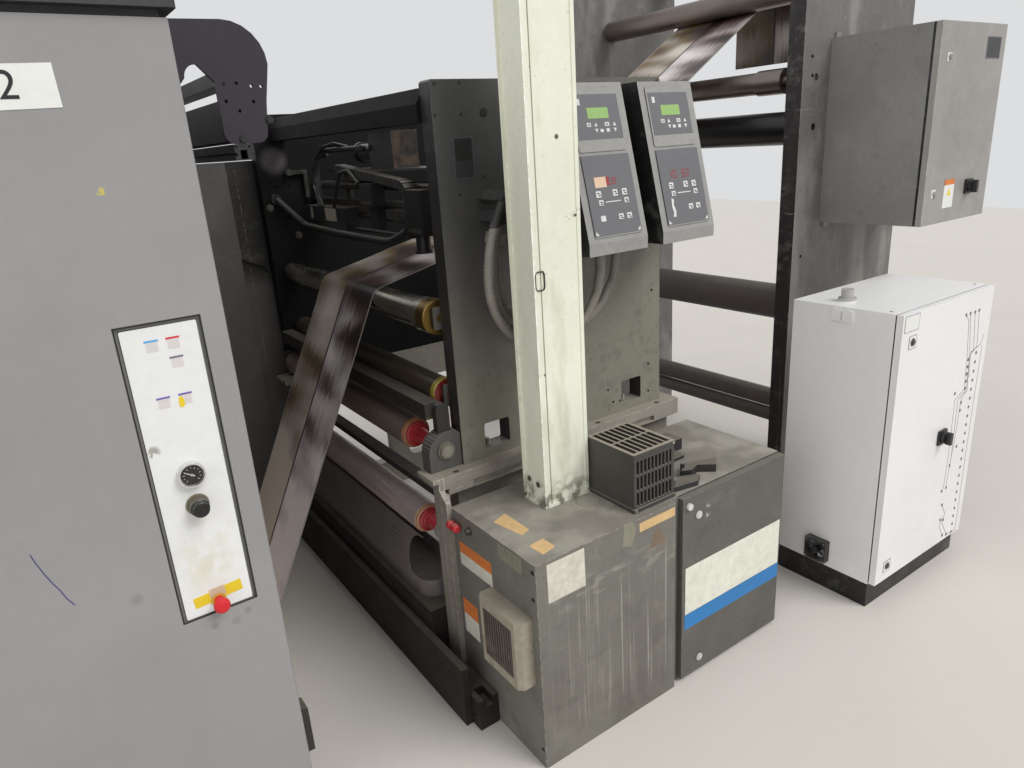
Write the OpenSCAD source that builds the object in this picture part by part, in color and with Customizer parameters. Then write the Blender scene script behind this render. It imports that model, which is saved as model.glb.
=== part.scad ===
// Web offset printing press: printing unit, roller and register stand,
// web tower, floor cabinets and operator consoles, in millimetres.
// x runs along the web, y from the operator side to the drive side, z up.
// y = 0 is the operator face of the side plates, z = 0 the floor.

/* [Side plates] */
// Clear width between the operator and drive side plates
gap_w = 1320; // [1250:10:1400]
// Thickness of the unit and stand side plates
plate_t = 58; // [50:1:64]
// Thickness of the tower side plates
tower_t = 70; // [60:1:80]
// Left edge of the stand's operator plate
stand_x = 1020; // [1010:1:1030]
// Width of the stand's operator plate
stand_w = 865; // [840:5:880]
// Height of the stand plates above the rail
stand_h = 1122; // [1060:2:1180]
// How far the drive plate reaches out to the left of the operator plate
drive_reach = 80; // [70:1:90]
// Left edge of the tower plates
tower_x = 2661; // [2640:1:2680]
// Width of the tower plates
tower_w = 769; // [740:1:800]
// Height of the tower plates
tower_h = 2600; // [2560:5:2700]

/* [Stand base] */
// Height of the rail's top face above the floor
rail_z = 751; // [730:1:770]
// Height of the rail
rail_h = 61; // [55:1:70]
// How far the rail stands out in front of the plate
rail_out = 42; // [38:1:44]
// Left end of the rail
rail_x = 885; // [880:1:890]
// Right end of the rail
rail_x2 = 1940; // [1920:1:1950]
// Left edge of the leg plates
leg_x = 990; // [985:1:1000]
// Left face of the base beam
beam_x = 826; // [815:1:828]
// Height of the base beam
beam_h = 205; // [190:1:215]
// How far the base beam reaches out in front of the plates
beam_reach = 215; // [180:5:230]
// Set-back of the upper beam
beam_step = 24; // [15:1:30]
// Height of the upper beam
beam2_h = 80; // [70:1:85]
// Width of the anchor foot
foot_w = 92; // [80:1:93]
// Length of the anchor foot in front of the plates
foot_l = 260; // [240:5:280]
// Height of the anchor foot
foot_h = 105; // [90:1:115]
// Anchor bolt hole radius in the foot
foot_bolt_r = 7; // [5:0.5:9]

/* [Rollers] */
// Radius of the chrome idler
idler_r = 48; // [44:0.5:50]
// Radius of the rubber roller
rubber_r = 48; // [44:0.5:50]
// Radius of the upper transfer roller
upper_r = 52; // [48:0.5:54]
// Radius of the lower transfer roller
lower_r = 50; // [46:0.5:52]
// Radius of the tower's steel rollers
tower_r = 50; // [46:0.5:52]
// Radius of the tower's black roller
black_r = 66; // [60:0.5:68]
// Radius of the roller journals
journal_r = 14; // [12:0.5:16]
// Radial running clearance of a journal in its bore
fit = 0.05; // [0.02:0.01:0.1]
// Clearance from a roller's end to the side plate
end_gap = 15; // [13:1:20]
// Thickness of the paper web
web_t = 1; // [0.8:0.1:1.5]
// Clearance between the web and the rollers
web_gap = 0.6; // [0.5:0.1:0.9]
// Operator edge of the web
web_y = 440; // [420:5:460]
// Width of the web
web_w = 465; // [420:5:480]

/* [Printing unit] */
// Right face of the unit's housing
unit_x2 = 340; // [330:1:350]
// Length of the unit
unit_l = 1600; // [1500:10:1700]
// Height of the unit's housings
unit_h = 1955; // [1900:5:1960]
// Depth of the operator housing
housing_d = 270; // [250:1:280]
// Depth of the drive housing
drive_d = 354; // [320:1:380]
// Height of the link housing beside the stand
link_h = 1697; // [1650:1:1750]
// Right end of the link housing
link_x2 = 825; // [800:1:830]
// Radius of the printing cylinders
cylinder_r = 98; // [90:1:104]
// Level of the web in the unit
nip_z = 1045; // [1030:1:1060]

/* [Control panel] */
// Left edge of the control panel
panel_x = 129; // [120:1:140]
// Width of the control panel
panel_w = 163; // [150:1:170]
// Bottom edge of the control panel
panel_z = 739; // [720:1:750]
// Height of the control panel
panel_h = 672; // [650:1:690]
// Depth of the control panel's recess
recess = 12; // [8:1:16]
// Radius of the pressure gauge
gauge_r = 28; // [24:0.5:30]
// Radius of the regulator knob
knob_r = 20; // [16:0.5:22]
// Radius of the stop button's head
button_r = 18; // [16:0.5:20]
// Travel of the stop button
button_travel = 4; // [3:0.5:6]

/* [Floor cabinet] */
// Left side of the floor cabinet
cab_x = 921; // [921:1:925]
// Width of the floor cabinet
cab_w = 1036; // [1000:2:1050]
// Depth of the floor cabinet in front of the plates
cab_d = 497; // [485:1:500]
// Clear space between the plates and the cabinet's back
cab_clear = 71; // [66:1:76]
// Height of the floor cabinet
cab_h = 666; // [650:1:680]
// Sheet thickness of the cabinets
sheet = 2.5; // [2:0.5:4]
// Thickness of the floor cabinet's door
cab_door_t = 24; // [20:1:28]
// Width of the floor cabinet's door
cab_door_w = 485; // [460:1:500]
// Distance from the floor to the door
cab_door_z = 12; // [10:1:20]
// Width of the post between the left panel and the door
cab_post_w = 32; // [28:1:40]
// Width of the filter box on the cabinet's side
filter_w = 196; // [180:2:204]
// Height of the filter box
filter_h = 215; // [200:5:230]
// Depth of the filter box
filter_d = 52; // [45:1:60]

/* [White cabinet] */
// Left side of the white cabinet
white_x = 2280; // [2260:1:2300]
// Width of the white cabinet
white_w = 625; // [580:1:640]
// Front of the white cabinet's door
white_y = -675; // [-685:1:-665]
// Depth of the white cabinet with its door
white_d = 395; // [370:1:410]
// Height of the white cabinet with its plinth
white_h = 1100; // [1060:1:1140]
// Height of the plinth
plinth_h = 95; // [85:1:105]
// Thickness of the white door
white_door_t = 22; // [18:1:24]
// Side length of the fan's frame
fan_w = 86; // [80:1:92]

/* [Wall cabinet] */
// Left side of the wall cabinet
wall_x = 2838; // [2830:1:2850]
// Width of the wall cabinet
wall_w = 490; // [460:1:500]
// Depth of the wall cabinet with its door
wall_d = 420; // [380:1:440]
// Bottom of the wall cabinet
wall_z = 1300; // [1280:1:1320]
// Height of the wall cabinet
wall_h = 708; // [680:1:720]
// Thickness of the wall cabinet's door
wall_door_t = 22; // [18:1:26]

/* [Consoles] */
// Left side of the left console
console_x = 1331; // [1325:1:1340]
// Width of a console
console_w = 226; // [210:1:232]
// Distance between the consoles
console_gap = 65; // [55:1:70]
// Bottom of the consoles
console_z = 1380; // [1360:1:1400]
// Height of the consoles
console_h = 465; // [440:1:480]
// Depth of a console at its bottom
console_d = 270; // [250:1:280]
// Depth of a console at its top
console_top_d = 162; // [150:1:170]
// Radius of the corrugated conduits
conduit_r = 12; // [10:0.5:13]

/* [Cable riser] */
// Left side of the riser
riser_x = 1130; // [1120:1:1136]
// Width of the riser
riser_w = 164; // [150:1:170]
// Depth of the riser
riser_d = 93; // [85:1:98]
// Distance of the riser's front from the plate face
riser_y = -273; // [-280:1:-265]
// Height of the riser's top flange
riser_h = 2500; // [2400:5:2550]
// Width of the riser's top flange
flange_w = 25; // [22:1:30]
// Bolt hole radius in the riser's top flange
flange_bolt_r = 5.5; // [4.5:0.5:7]

/* [Ventilated box] */
// Left side of the ventilated box
vent_x = 1302; // [1300:1:1306]
// Width of the ventilated box
vent_w = 162; // [156:1:168]
// Depth of the ventilated box
vent_d = 196; // [186:1:200]
// Height of the ventilated box
vent_h = 183; // [170:1:190]

/* [Hidden] */
$fn = 48;

touch = 0.3;
inner_y = plate_t;
drive_y = plate_t + gap_w;
drive_y2 = drive_y + plate_t;
tower_y2 = drive_y + tower_t;
unit_x = unit_x2 - unit_l;
cover_lip = 15;
tower_x2 = tower_x + tower_w;
stand_x2 = stand_x + stand_w;
stand_z2 = rail_z + stand_h;
drive_x = stand_x - drive_reach;
housing_y = -housing_d;
drive_back = drive_y2 + drive_d;
handle_out = 38;

// overall box, used to set the origin at the middle of the floor area
x_min = unit_x - cover_lip;
x_max = tower_x2;
y_min = white_y - handle_out;
y_max = drive_back;
origin = [-(x_min + x_max) / 2, -(y_min + y_max) / 2, 0];

// roller axes as [x, z]
idler_p = [stand_x, 1214];
rubber_p = [stand_x + 10, 968];
upper_p = [stand_x - 54, rail_z + 64];
lower_p = [stand_x - 88, 550];
bend_p = [stand_x2 - 95, 1490];
top_p = [tower_x + 269, tower_h - 375];
middle_p = [tower_x + 89, tower_h - 733];
low_p = [tower_x + 89, tower_h - 917];
exit_p = [tower_x2 - 90, tower_h - 130];
floor_p = [unit_x2 + 48, 95];
floor_r = 32;
turn_r = 45;
turn_p = [floor_p[0] - floor_r - turn_r - 2 * web_gap - web_t, nip_z - turn_r - web_gap - web_t / 2];
entry_x = unit_x + 70;

/* small helpers */
module along_y(y0, y1) translate([0, y1, 0]) rotate([90, 0, 0]) linear_extrude(y1 - y0) children();
module along_x(x0, x1) translate([x0, 0, 0]) rotate([90, 0, 90]) linear_extrude(x1 - x0) children();
module along_z(z0, z1) translate([0, 0, z0]) linear_extrude(z1 - z0) children();
module block(a, b) translate(a) cube(b - a);
module rod_y(p, y0, y1, r) translate([p[0], y0, p[1]]) rotate([-90, 0, 0]) cylinder(h = y1 - y0, r = r);
module rod_x(x0, x1, y, z, r) translate([x0, y, z]) rotate([0, 90, 0]) cylinder(h = x1 - x0, r = r);
module rod_z(x, y, z0, z1, r) translate([x, y, z0]) cylinder(h = z1 - z0, r = r);
module rod(a, b, r) let (d = b - a) translate(a)
  rotate([0, acos(d[2] / norm(d)), atan2(d[1], d[0])]) cylinder(h = norm(d), r = r);
module turned_y(p, profile) translate([p[0], 0, p[1]]) rotate([-90, 0, 0]) rotate_extrude() polygon(profile);

// points of an arc, and a rectangle with round corners as a point list
function arc(c, r, a0, a1, n = 6) = [for (i = [0:n]) let (a = a0 + (a1 - a0) * i / n) c + r * [cos(a), sin(a)]];
function round_box(x0, y0, x1, y1, r) = concat(
  arc([x1 - r, y1 - r], r, 0, 90), arc([x0 + r, y1 - r], r, 90, 180),
  arc([x0 + r, y0 + r], r, 180, 270), arc([x1 - r, y0 + r], r, 270, 360));
function box_points(x0, y0, x1, y1) = [[x0, y0], [x1, y0], [x1, y1], [x0, y1]];

// web path: each stop is [x, z, roller radius, turn], turn -1 clockwise, 1 counter-clockwise
web_stops = [
  [turn_p[0], turn_p[1], turn_r, -1],
  [floor_p[0], floor_p[1], floor_r, 1],
  [idler_p[0], idler_p[1], idler_r, -1],
  [bend_p[0], bend_p[1], turn_r, 1],
  [top_p[0], top_p[1], tower_r, 1],
  [exit_p[0], exit_p[1], tower_r, -1]];
web_drop = 480;
function wrap_r(s) = s[2] + web_gap + web_t / 2;
// heading of the straight span from stop a to stop b, tangent to both
function heading(a, b) = let (dx = b[0] - a[0], dz = b[1] - a[1], d = norm([dx, dz]))
  atan2(dz, dx) - asin((b[3] * wrap_r(b) - a[3] * wrap_r(a)) / d);
function headings() = concat([0], [for (i = [0:len(web_stops) - 2])
  heading(web_stops[i], web_stops[i + 1])], [-90]);
function arc_points(s, h0, h1) = let (n = max(1, ceil(abs(h1 - h0) / 9)))
  [for (i = [0:n]) let (h = h0 + (h1 - h0) * i / n)
    [s[0], s[1]] + wrap_r(s) * s[3] * [sin(h), -cos(h)]];
function web_line() = let (h = headings()) concat(
  [[entry_x, nip_z]],
  [for (i = [0:len(web_stops) - 1]) each arc_points(web_stops[i], h[i], h[i + 1])],
  [[exit_p[0] + wrap_r(web_stops[5]), exit_p[1] - web_drop]]);
function normal_at(p, i) = let (a = p[max(0, i - 1)], b = p[min(len(p) - 1, i + 1)])
  [a[1] - b[1], b[0] - a[0]] / norm(b - a);

/* printing unit */
unit_mid = unit_x + unit_l / 2;
cylinder_step = 2 * cylinder_r + 2 * web_gap + web_t;
stub_r = 30;
frame_in = 40;
frame_top = unit_h - 50;
frame_cut = 45;
floor_boss = 30;
module unit_frame_profile() polygon([
  [unit_x + frame_in, 0], [floor_p[0] + floor_boss, 0], [floor_p[0] + floor_boss, floor_p[1] + 55],
  [unit_x2, floor_p[1] + 95], [unit_x2, frame_top - frame_cut], [unit_x2 - frame_cut, frame_top],
  [unit_x + frame_in + frame_cut, frame_top], [unit_x + frame_in, frame_top - frame_cut]]);
module unit_bores(y0, y1) {
  for (p = [floor_p, turn_p]) rod_y(p, y0, y1, journal_r);
  for (s = [-1, 1]) for (k = [1, 3]) rod_y([unit_mid, nip_z + s * k * cylinder_step / 2], y0, y1, stub_r);
}
module unit_frame_operator() color("#4b4c50") difference() {
  along_y(0, plate_t) unit_frame_profile();
  unit_bores(-1, plate_t + 1);
}
module unit_frame_drive() color("#4b4c50") difference() {
  along_y(drive_y, drive_y2) unit_frame_profile();
  unit_bores(drive_y - 1, drive_y2 + 1);
}
module unit_operator_housing() color("#77787a") difference() {
  along_z(0, unit_h) polygon(round_box(unit_x, housing_y, unit_x2, -touch / 10, 6));
  block([panel_x, housing_y - 1, panel_z], [panel_x + panel_w, housing_y + recess, panel_z + panel_h]);
}
// lid with a shadow gap under its edge
module unit_top_cover() color("#3f4043") {
  along_z(unit_h + 15, unit_h + 50)
    polygon(round_box(unit_x - cover_lip, housing_y - cover_lip, unit_x2 + cover_lip, 0, 10));
  along_z(unit_h, unit_h + 15) polygon(round_box(unit_x + 12, housing_y + 12, unit_x2 - 12, -12, 6));
}
link_cut = link_h - 402;
link_back = 30;
module unit_drive_housing() color("#8a8b8b") {
  along_z(0, unit_h) polygon(round_box(unit_x, drive_y2, unit_x2, drive_back, 6));
  along_z(0, link_h) polygon(round_box(unit_x2, drive_y2, link_x2, drive_back, 6));
  along_y(drive_y2 + 10, drive_back - link_back) polygon([[link_x2, link_cut], [drive_x - 21, link_cut - 46],
    [drive_x + 22, link_cut - 128], [drive_x + 30, link_cut - 128], [drive_x + 30, link_h], [link_x2, link_h]]);
  block([link_x2, drive_y2 + link_back, 0], [drive_x + 25, drive_back - link_back - 2, link_cut + 5]);
}
bed_in = 60;
bed_h = 110;
module unit_bed() color("#3c3d40") along_y(inner_y, drive_y) polygon([
  [unit_x + bed_in, 0], [unit_x2 - bed_in - 20, 0], [unit_x2 - bed_in - 20, bed_h - 40],
  [unit_x2 - bed_in - 60, bed_h], [unit_x + bed_in + 40, bed_h], [unit_x + bed_in, bed_h - 40]]);
bridge_in = 120;
bridge_low = unit_h - 190;
bridge_t = 15;
module unit_bridge() color("#3c3d40") along_y(inner_y, drive_y) difference() {
  polygon(box_points(unit_x + bridge_in, bridge_low, unit_x2 - bridge_in, unit_h - 60));
  polygon(round_box(unit_x + bridge_in + bridge_t, bridge_low + bridge_t,
    unit_x2 - bridge_in - bridge_t, unit_h - 60 - bridge_t, 8));
}
// inking rollers: two form rollers on the plate cylinder, then a zigzag stack up to the bridge
form_r = 38;
ink_r = 44;
ink_gap = 2;
form_turn = 34;
ink_zig = 34;
ink_rise = sqrt(pow(2 * ink_r + ink_gap, 2) - pow(2 * ink_zig, 2));
form_d = cylinder_r + form_r + ink_gap;
ink_start = form_d * cos(form_turn)
  + sqrt(pow(form_r + ink_r + ink_gap, 2) - pow(form_d * sin(form_turn) - ink_zig, 2));
ink_count = floor((bridge_low - 10 - ink_r - nip_z - 1.5 * cylinder_step - ink_start) / ink_rise);
module print_couple(s) {
  color("#a7a9ad") for (k = [1, 3]) let (p = [unit_mid, nip_z + s * k * cylinder_step / 2])
    turned_y(p, [[0, 0.5], [stub_r - fit, 0.5], [stub_r - fit, inner_y + end_gap], [cylinder_r, inner_y + end_gap],
      [cylinder_r, inner_y + 54], [cylinder_r - 3, inner_y + 56], [cylinder_r - 3, drive_y - 56],
      [cylinder_r, drive_y - 54], [cylinder_r, drive_y - end_gap], [stub_r - fit, drive_y - end_gap],
      [stub_r - fit, drive_y2 - 0.5], [0, drive_y2 - 0.5]]);
  color("#2f2c2c") {
    for (m = [-1, 1]) rod_y([unit_mid + m * form_d * sin(form_turn),
      nip_z + s * (1.5 * cylinder_step + form_d * cos(form_turn))], inner_y, drive_y, form_r);
    for (m = [-1, 1]) for (i = [0:ink_count]) if (i > 0 || m > 0)
      if ((i % 2 == 0) == (m > 0)) rod_y([unit_mid + m * ink_zig,
        nip_z + s * (1.5 * cylinder_step + ink_start + i * ink_rise)], inner_y, drive_y, ink_r);
  }
}
module upper_print_couple() print_couple(1);
module lower_print_couple() print_couple(-1);

// guide roller between two plates of thickness t
function roller_profile(r, t, y2) = [[0, 4], [journal_r - fit, 4], [journal_r - fit, t + end_gap],
  [r, t + end_gap], [r, drive_y - end_gap], [journal_r - fit, drive_y - end_gap],
  [journal_r - fit, y2 - 4], [0, y2 - 4]];
module unit_turn_roller() color("#8f9194") turned_y(turn_p, roller_profile(turn_r, plate_t, drive_y2));
module unit_floor_roller() color("#8f9194") turned_y(floor_p, roller_profile(floor_r, plate_t, drive_y2));
module stand_bend_roller() color("#8f9194") turned_y(bend_p, roller_profile(turn_r, plate_t, drive_y2));
module tower_exit_roller() color("#8f9194") turned_y(exit_p, roller_profile(tower_r, tower_t, tower_y2));

/* control panel */
panel_mid = panel_x + panel_w / 2;
panel_face = housing_y + 3;
panel_rim = 10;
gauge_z = panel_z + 342;
knob_z = panel_z + 269;
button_z = panel_z + 29;
stem_r = 11;
collar_t = 4;
knob_out = 40;
module control_panel() color("#e9e9e6") difference() {
  union() {
    block([panel_x + touch, housing_y + 7, panel_z + touch],
      [panel_x + panel_w - touch, housing_y + recess, panel_z + panel_h - touch]);
    along_y(panel_face, housing_y + 7) polygon(round_box(panel_x + panel_rim, panel_z + 5,
      panel_x + panel_w - panel_rim, panel_z + panel_h - panel_rim, 3));
    rod_y([panel_mid, knob_z], panel_face - collar_t, housing_y + 7, knob_r + 4);
    rod_y([panel_mid, button_z], panel_face - collar_t, housing_y + 7, stem_r + 5);
  }
  rod_y([panel_mid, knob_z], panel_face - collar_t - 1, housing_y + recess + 1, 6 + fit);
  rod_y([panel_mid, button_z], panel_face - collar_t - 1, housing_y + recess + 1, stem_r + fit);
}
module pressure_gauge() color("#c9cbcd") turned_y([panel_mid, gauge_z], [[0, panel_face - 13],
  [gauge_r - 5, panel_face - 13], [gauge_r - 4, panel_face - 18], [gauge_r - 1, panel_face - 18],
  [gauge_r, panel_face - 16], [gauge_r, panel_face], [0, panel_face]]);
module regulator_knob() color("#1d1d1f") let (y0 = panel_face - knob_out, y1 = panel_face - collar_t - touch)
  difference() {
    turned_y([panel_mid, knob_z], [[0, y0], [knob_r - 5, y0], [knob_r - 3, y0 + 2], [knob_r - 3, y0 + 12],
      [knob_r, y0 + 14], [knob_r, y1], [6, y1], [6, panel_face + 7], [0, panel_face + 7]]);
    for (a = [0:20:359]) translate([panel_mid, 0, knob_z]) rotate([0, a, 0])
      rod_y([knob_r + 0.4, 0], y0 + 13, y1 - 2, 1.5);
  }
module stop_button() color("#c3202a") let (y0 = panel_face - knob_out)
  turned_y([panel_mid, button_z], [[0, y0], [button_r - 8, y0], [button_r - 2, y0 + 3], [button_r, y0 + 9],
    [button_r - 1, y0 + 15], [stem_r + 1, y0 + 19], [stem_r, y0 + 20], [stem_r, panel_face + 4], [0, panel_face + 4]]);

/* scanner on the unit's outfeed */
arm_t = 12;
arm_low = unit_h - 217;
arm_top = unit_h + 55;
arm_x = unit_x2 + 158;
arm_x2 = unit_x2 + 277;
arm_hole_r = 4;
module arm_profile() difference() {
  polygon(concat([[unit_x2 - 110, arm_top - 6], [unit_x2 - 110, arm_low + 40], [unit_x2 + 40, arm_low + 100]],
    arc([arm_x - 46, arm_low + 147], 30, 180, 90), [[arm_x - 10, arm_low + 137]],
    arc([arm_x + 15, arm_low + 25], 25, 180, 270), arc([arm_x + 69, arm_low + 25], 25, 270, 360),
    [[arm_x + 102, arm_low + 92]], arc([arm_x2 - 95, arm_top - 95], 95, 0, 90)));
  for (h = [[8, 133], [37, 135], [72, 129], [95, 128], [7, 96], [71, 94], [35, 74]])
    translate([arm_x, arm_low] + h) circle(r = arm_hole_r);
}
module scanner_arm_operator() color("#5f5a66") along_y(inner_y, inner_y + arm_t) arm_profile();
module scanner_arm_drive() color("#5f5a66") along_y(drive_y - arm_t, drive_y) arm_profile();
module scanner_beams() color("#1f2022") let (y0 = inner_y + arm_t, y1 = drive_y - arm_t) {
  along_y(y0, y1) polygon(box_points(arm_x + 2, arm_low + 7, arm_x + 86, arm_low + 100));
  along_y(y0, y1) polygon(box_points(arm_x + 7, arm_low + 136, arm_x + 62, arm_low + 168));
  // slotted aluminium section under the arms
  along_y(inner_y, drive_y) let (x = arm_x + 7, z = arm_low - touch) difference() {
    polygon(box_points(x, z - 38, x + 43, z));
    polygon(box_points(x + 13, z - 35, x + 29, z - 14));
    for (s = [0, 1]) polygon(box_points(x - 1 + s * 39, z - 28, x + 5 + s * 39, z - 20));
    for (h = [[5, -6], [36, -7]]) translate([x, z] + h) circle(r = 2.5);
  }
}

/* stand */
rail_step = 14;
rail_step2 = 40;
post_t = 16;
cab_back = -cab_clear;
module leg_profile() difference() {
  polygon([[leg_x, 0], [leg_x + 150, 0], [leg_x + 180, 60], [stand_x2 - 200, 60], [stand_x2 - 170, 0],
    [stand_x2 + 40, 0], [stand_x2 + 40, rail_z - rail_h], [leg_x, rail_z - rail_h]]);
  for (k = [0, 1]) polygon(round_box(leg_x + 100 + k * 390, 190, leg_x + 400 + k * 390, 590, 40));
}
module rail_profile() polygon([[rail_x, rail_z], [rail_x2, rail_z], [rail_x2, rail_z - rail_h],
  [rail_x + 52, rail_z - rail_h], [rail_x + 52, rail_z - rail_step2], [rail_x + 18, rail_z - rail_step2],
  [rail_x + 18, rail_z - rail_step], [rail_x, rail_z - rail_step]]);
// bearing arm of the lower transfer roller, beside the leg
module lower_bearing(y0, y1) along_y(y0, y1) polygon(concat(arc(lower_p, 30, 90, 270, 12),
  [[leg_x, lower_p[1] - 30], [leg_x, lower_p[1] + 30]]));
module stand_base_operator() color("#55575a") difference() {
  union() {
    along_y(0, plate_t) leg_profile();
    along_y(-rail_out, plate_t) rail_profile();
    lower_bearing(0, 20);
    // post under the rail's end, at the cabinet's corner
    along_x(cab_x - post_t, cab_x) polygon(concat([[cab_back - 4, foot_h], [0, foot_h],
      [0, rail_z - rail_step2], [-rail_out, rail_z - rail_step2]],
      arc([cab_back + 11, rail_z - rail_h - 15], 15, 90, 180)));
  }
  rod_y(lower_p, -1, 21, journal_r);
  for (s = [[141, 480], [600, 930]]) along_y(-rail_out - 1, -rail_out + 14)
    polygon(round_box(rail_x + s[0], rail_z - rail_h + 3, rail_x + s[1], rail_z - rail_h + 24, 5));
  for (i = [0:3]) rod_z(rail_x + 91 + i * 290, -rail_out / 2, rail_z - 10, rail_z + 1, 12);
}
module stand_base_drive() color("#55575a") difference() {
  union() {
    along_y(drive_y, drive_y2) leg_profile();
    along_y(drive_y, drive_y2) rail_profile();
    lower_bearing(drive_y, drive_y2);
  }
  rod_y(lower_p, drive_y - 1, drive_y2 + 1, journal_r);
}
module stand_base_beams() color("#3e3f42") {
  block([beam_x, -beam_reach, 0], [beam_x + beam_step, drive_y2, beam_h]);
  block([beam_x + beam_step, 0, 0], [leg_x, drive_y2, beam_h + beam2_h]);
  difference() {
    block([beam_x + beam_step, -foot_l, 0], [beam_x + foot_w, 0, foot_h]);
    block([beam_x + beam_step + 18, -foot_l - 1, foot_h - 30], [beam_x + foot_w - 18, -foot_l + 61, foot_h + 1]);
    rod_x(beam_x + beam_step - 1, beam_x + foot_w + 1, -beam_reach - 20, 38, foot_bolt_r);
  }
}
tie_h = 180;
module stand_rear_tie() color("#3e3f42") along_y(inner_y, drive_y)
  polygon(box_points(stand_x2 - 60, 0, stand_x2 + 30, tie_h));
window_w = 95;
window_h = 84;
plate_cut = 6;
module plate_profile(x0) polygon([[x0, rail_z], [stand_x2, rail_z], [stand_x2, stand_z2 - plate_cut],
  [stand_x2 - plate_cut, stand_z2], [x0 + plate_cut, stand_z2], [x0, stand_z2 - plate_cut]]);
module stand_plate_operator() color("#64666a") difference() {
  along_y(0, plate_t) plate_profile(stand_x);
  for (x = [stand_x + 86, stand_x2 - 192]) along_y(-1, plate_t + 1)
    polygon(round_box(x, rail_z + 30, x + window_w, rail_z + 30 + window_h, 8));
  for (h = [[-58, 45], [-58, 150], [-232, 45], [-40, 420]])
    rod_y([stand_x2, rail_z] + h, -1, 12, 5);
  rod_y(bend_p, -1, plate_t + 1, journal_r);
}
module stand_plate_drive() color("#64666a") difference() {
  along_y(drive_y, drive_y2) plate_profile(drive_x);
  for (p = [idler_p, rubber_p, upper_p, bend_p]) rod_y(p, drive_y - 1, drive_y2 + 1, journal_r);
  // cable entry and the fixing holes round it
  rod_y([drive_x + 53, 1532], drive_y - 1, drive_y2 + 1, 22);
  for (h = [[94, 1450, 12], [121, 1584, 5], [75, 1607, 5], [68, 1582, 5], [40, 1602, 5]])
    rod_y([drive_x + h[0], h[1]], drive_y - 1, drive_y + 14, h[2]);
}
beam_w = 70;
module stand_top_beam() color("#2f3033") let (x = stand_x - 14, z = stand_z2 - 105) along_y(inner_y, drive_y)
  polygon([[x, z], [x + beam_w, z], [x + beam_w, z + 90], [x + 26, z + 90], [x, z + 48]]);
// drip tray with a round corner on the operator side
tray_z = beam_h + beam2_h;
tray_x = beam_x + beam_step + 22;
tray_w = 168;
tray_h = 60;
tray_r = 60;
tray_t = 4;
function tray_plan(o) = concat([[tray_x + tray_w - o, drive_y - o], [tray_x + o, drive_y - o]],
  arc([tray_x + tray_r, inner_y + tray_r], tray_r - o, 180, 270, 8), [[tray_x + tray_w - o, inner_y + o]]);
module drip_trough() color("#46474a") difference() {
  along_z(tray_z, tray_z + tray_h) polygon(tray_plan(0));
  along_z(tray_z + tray_t, tray_z + tray_h + 1) polygon(tray_plan(tray_t));
}
// sloping guard over the tray, its operator end cut back in a hollow curve
guard_z = tray_z + tray_h + touch;
guard_h = 155;
guard_y = inner_y + 32;
slot_l = 74;
module slotted_guard() color("#47484c") difference() {
  along_y(guard_y, drive_y) polygon([[tray_x, guard_z], [tray_x + tray_t, guard_z],
    [tray_x + tray_t + 20, guard_z + guard_h], [tray_x + 20, guard_z + guard_h]]);
  rod_x(tray_x - 1, tray_x + 40, guard_y, guard_z + 55, 100);
  for (g = [0:2]) for (k = [0:3]) translate([tray_x - 10, guard_y + 140 + g * 230 + k * 14, guard_z + 48 + k * 19])
    cube([60, slot_l, 5]);
}
bracket_t = 12;
boss_x = stand_x - 112;
boss_r = 58;
module roller_brackets() color("#3a3b3e") {
  // bearing plates of the chrome idler and the rubber roller on the operator plate
  for (p = [idler_p, rubber_p]) difference() {
    along_y(inner_y, inner_y + bracket_t) polygon(round_box(p[0] - 26, p[1] - 34, p[0] + 60, p[1] + 34, 10));
    rod_y(p, inner_y - 1, inner_y + bracket_t + 1, journal_r);
  }
  // boss block of the upper transfer roller beside the operator plate
  difference() {
    union() {
      along_y(8, plate_t) polygon(concat([[stand_x - touch, rail_z], [stand_x - touch, upper_p[1] + boss_r - 15],
        [stand_x - 15, upper_p[1] + boss_r]], arc(upper_p, boss_r, 90, 180, 8), [[boss_x, rail_z]]));
      rod_y(upper_p, 2, 9, 30);
      rod_y(upper_p, -6, 3, 23);
    }
    rod_y(upper_p, 20, plate_t + 1, journal_r);
    for (a = [112:12:172]) rod_y(upper_p + (boss_r + 1) * [cos(a), sin(a)], 7, plate_t + 1, 3.5);
  }
  // bearing plate of the same roller on the drive plate
  difference() {
    along_y(drive_y - bracket_t, drive_y) polygon(round_box(upper_p[0] - 45, upper_p[1] - 55,
      upper_p[0] + 50, upper_p[1] + 55, 12));
    rod_y(upper_p, drive_y - bracket_t - 1, drive_y + 1, journal_r);
  }
  // knob on the post
  turned_y([cab_x - 15, rail_z - 131], [[0, cab_back - 60], [9, cab_back - 60], [13, cab_back - 56],
    [14, cab_back - 40], [10, cab_back - 30], [14, cab_back - 24], [14, cab_back - 12], [7, cab_back - 10],
    [7, cab_back - 4], [0, cab_back - 4]]);
}
bar_z = upper_p[1] + 100;
bar_w = 50;
module impression_arm() color("#3a3b3e") {
  along_y(40, drive_y) polygon(box_points(upper_p[0] - 41, bar_z, upper_p[0] - 41 + bar_w, bar_z + bar_w));
  // link from the boss block up to the bar
  along_y(14, 40) polygon(concat([[upper_p[0] - 18, upper_p[1] + boss_r + touch],
    [upper_p[0] + 26, upper_p[1] + boss_r + touch]],
    arc([upper_p[0] + 4, bar_z + 28], 22, 0, 180, 8)));
  // flat bar between the transfer rollers
  along_y(inner_y, drive_y) polygon([[upper_p[0] - 34, 652], [upper_p[0] + 22, 640],
    [upper_p[0] + 26, 658], [upper_p[0] - 30, 670]]);
}
ring = 6;
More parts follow.
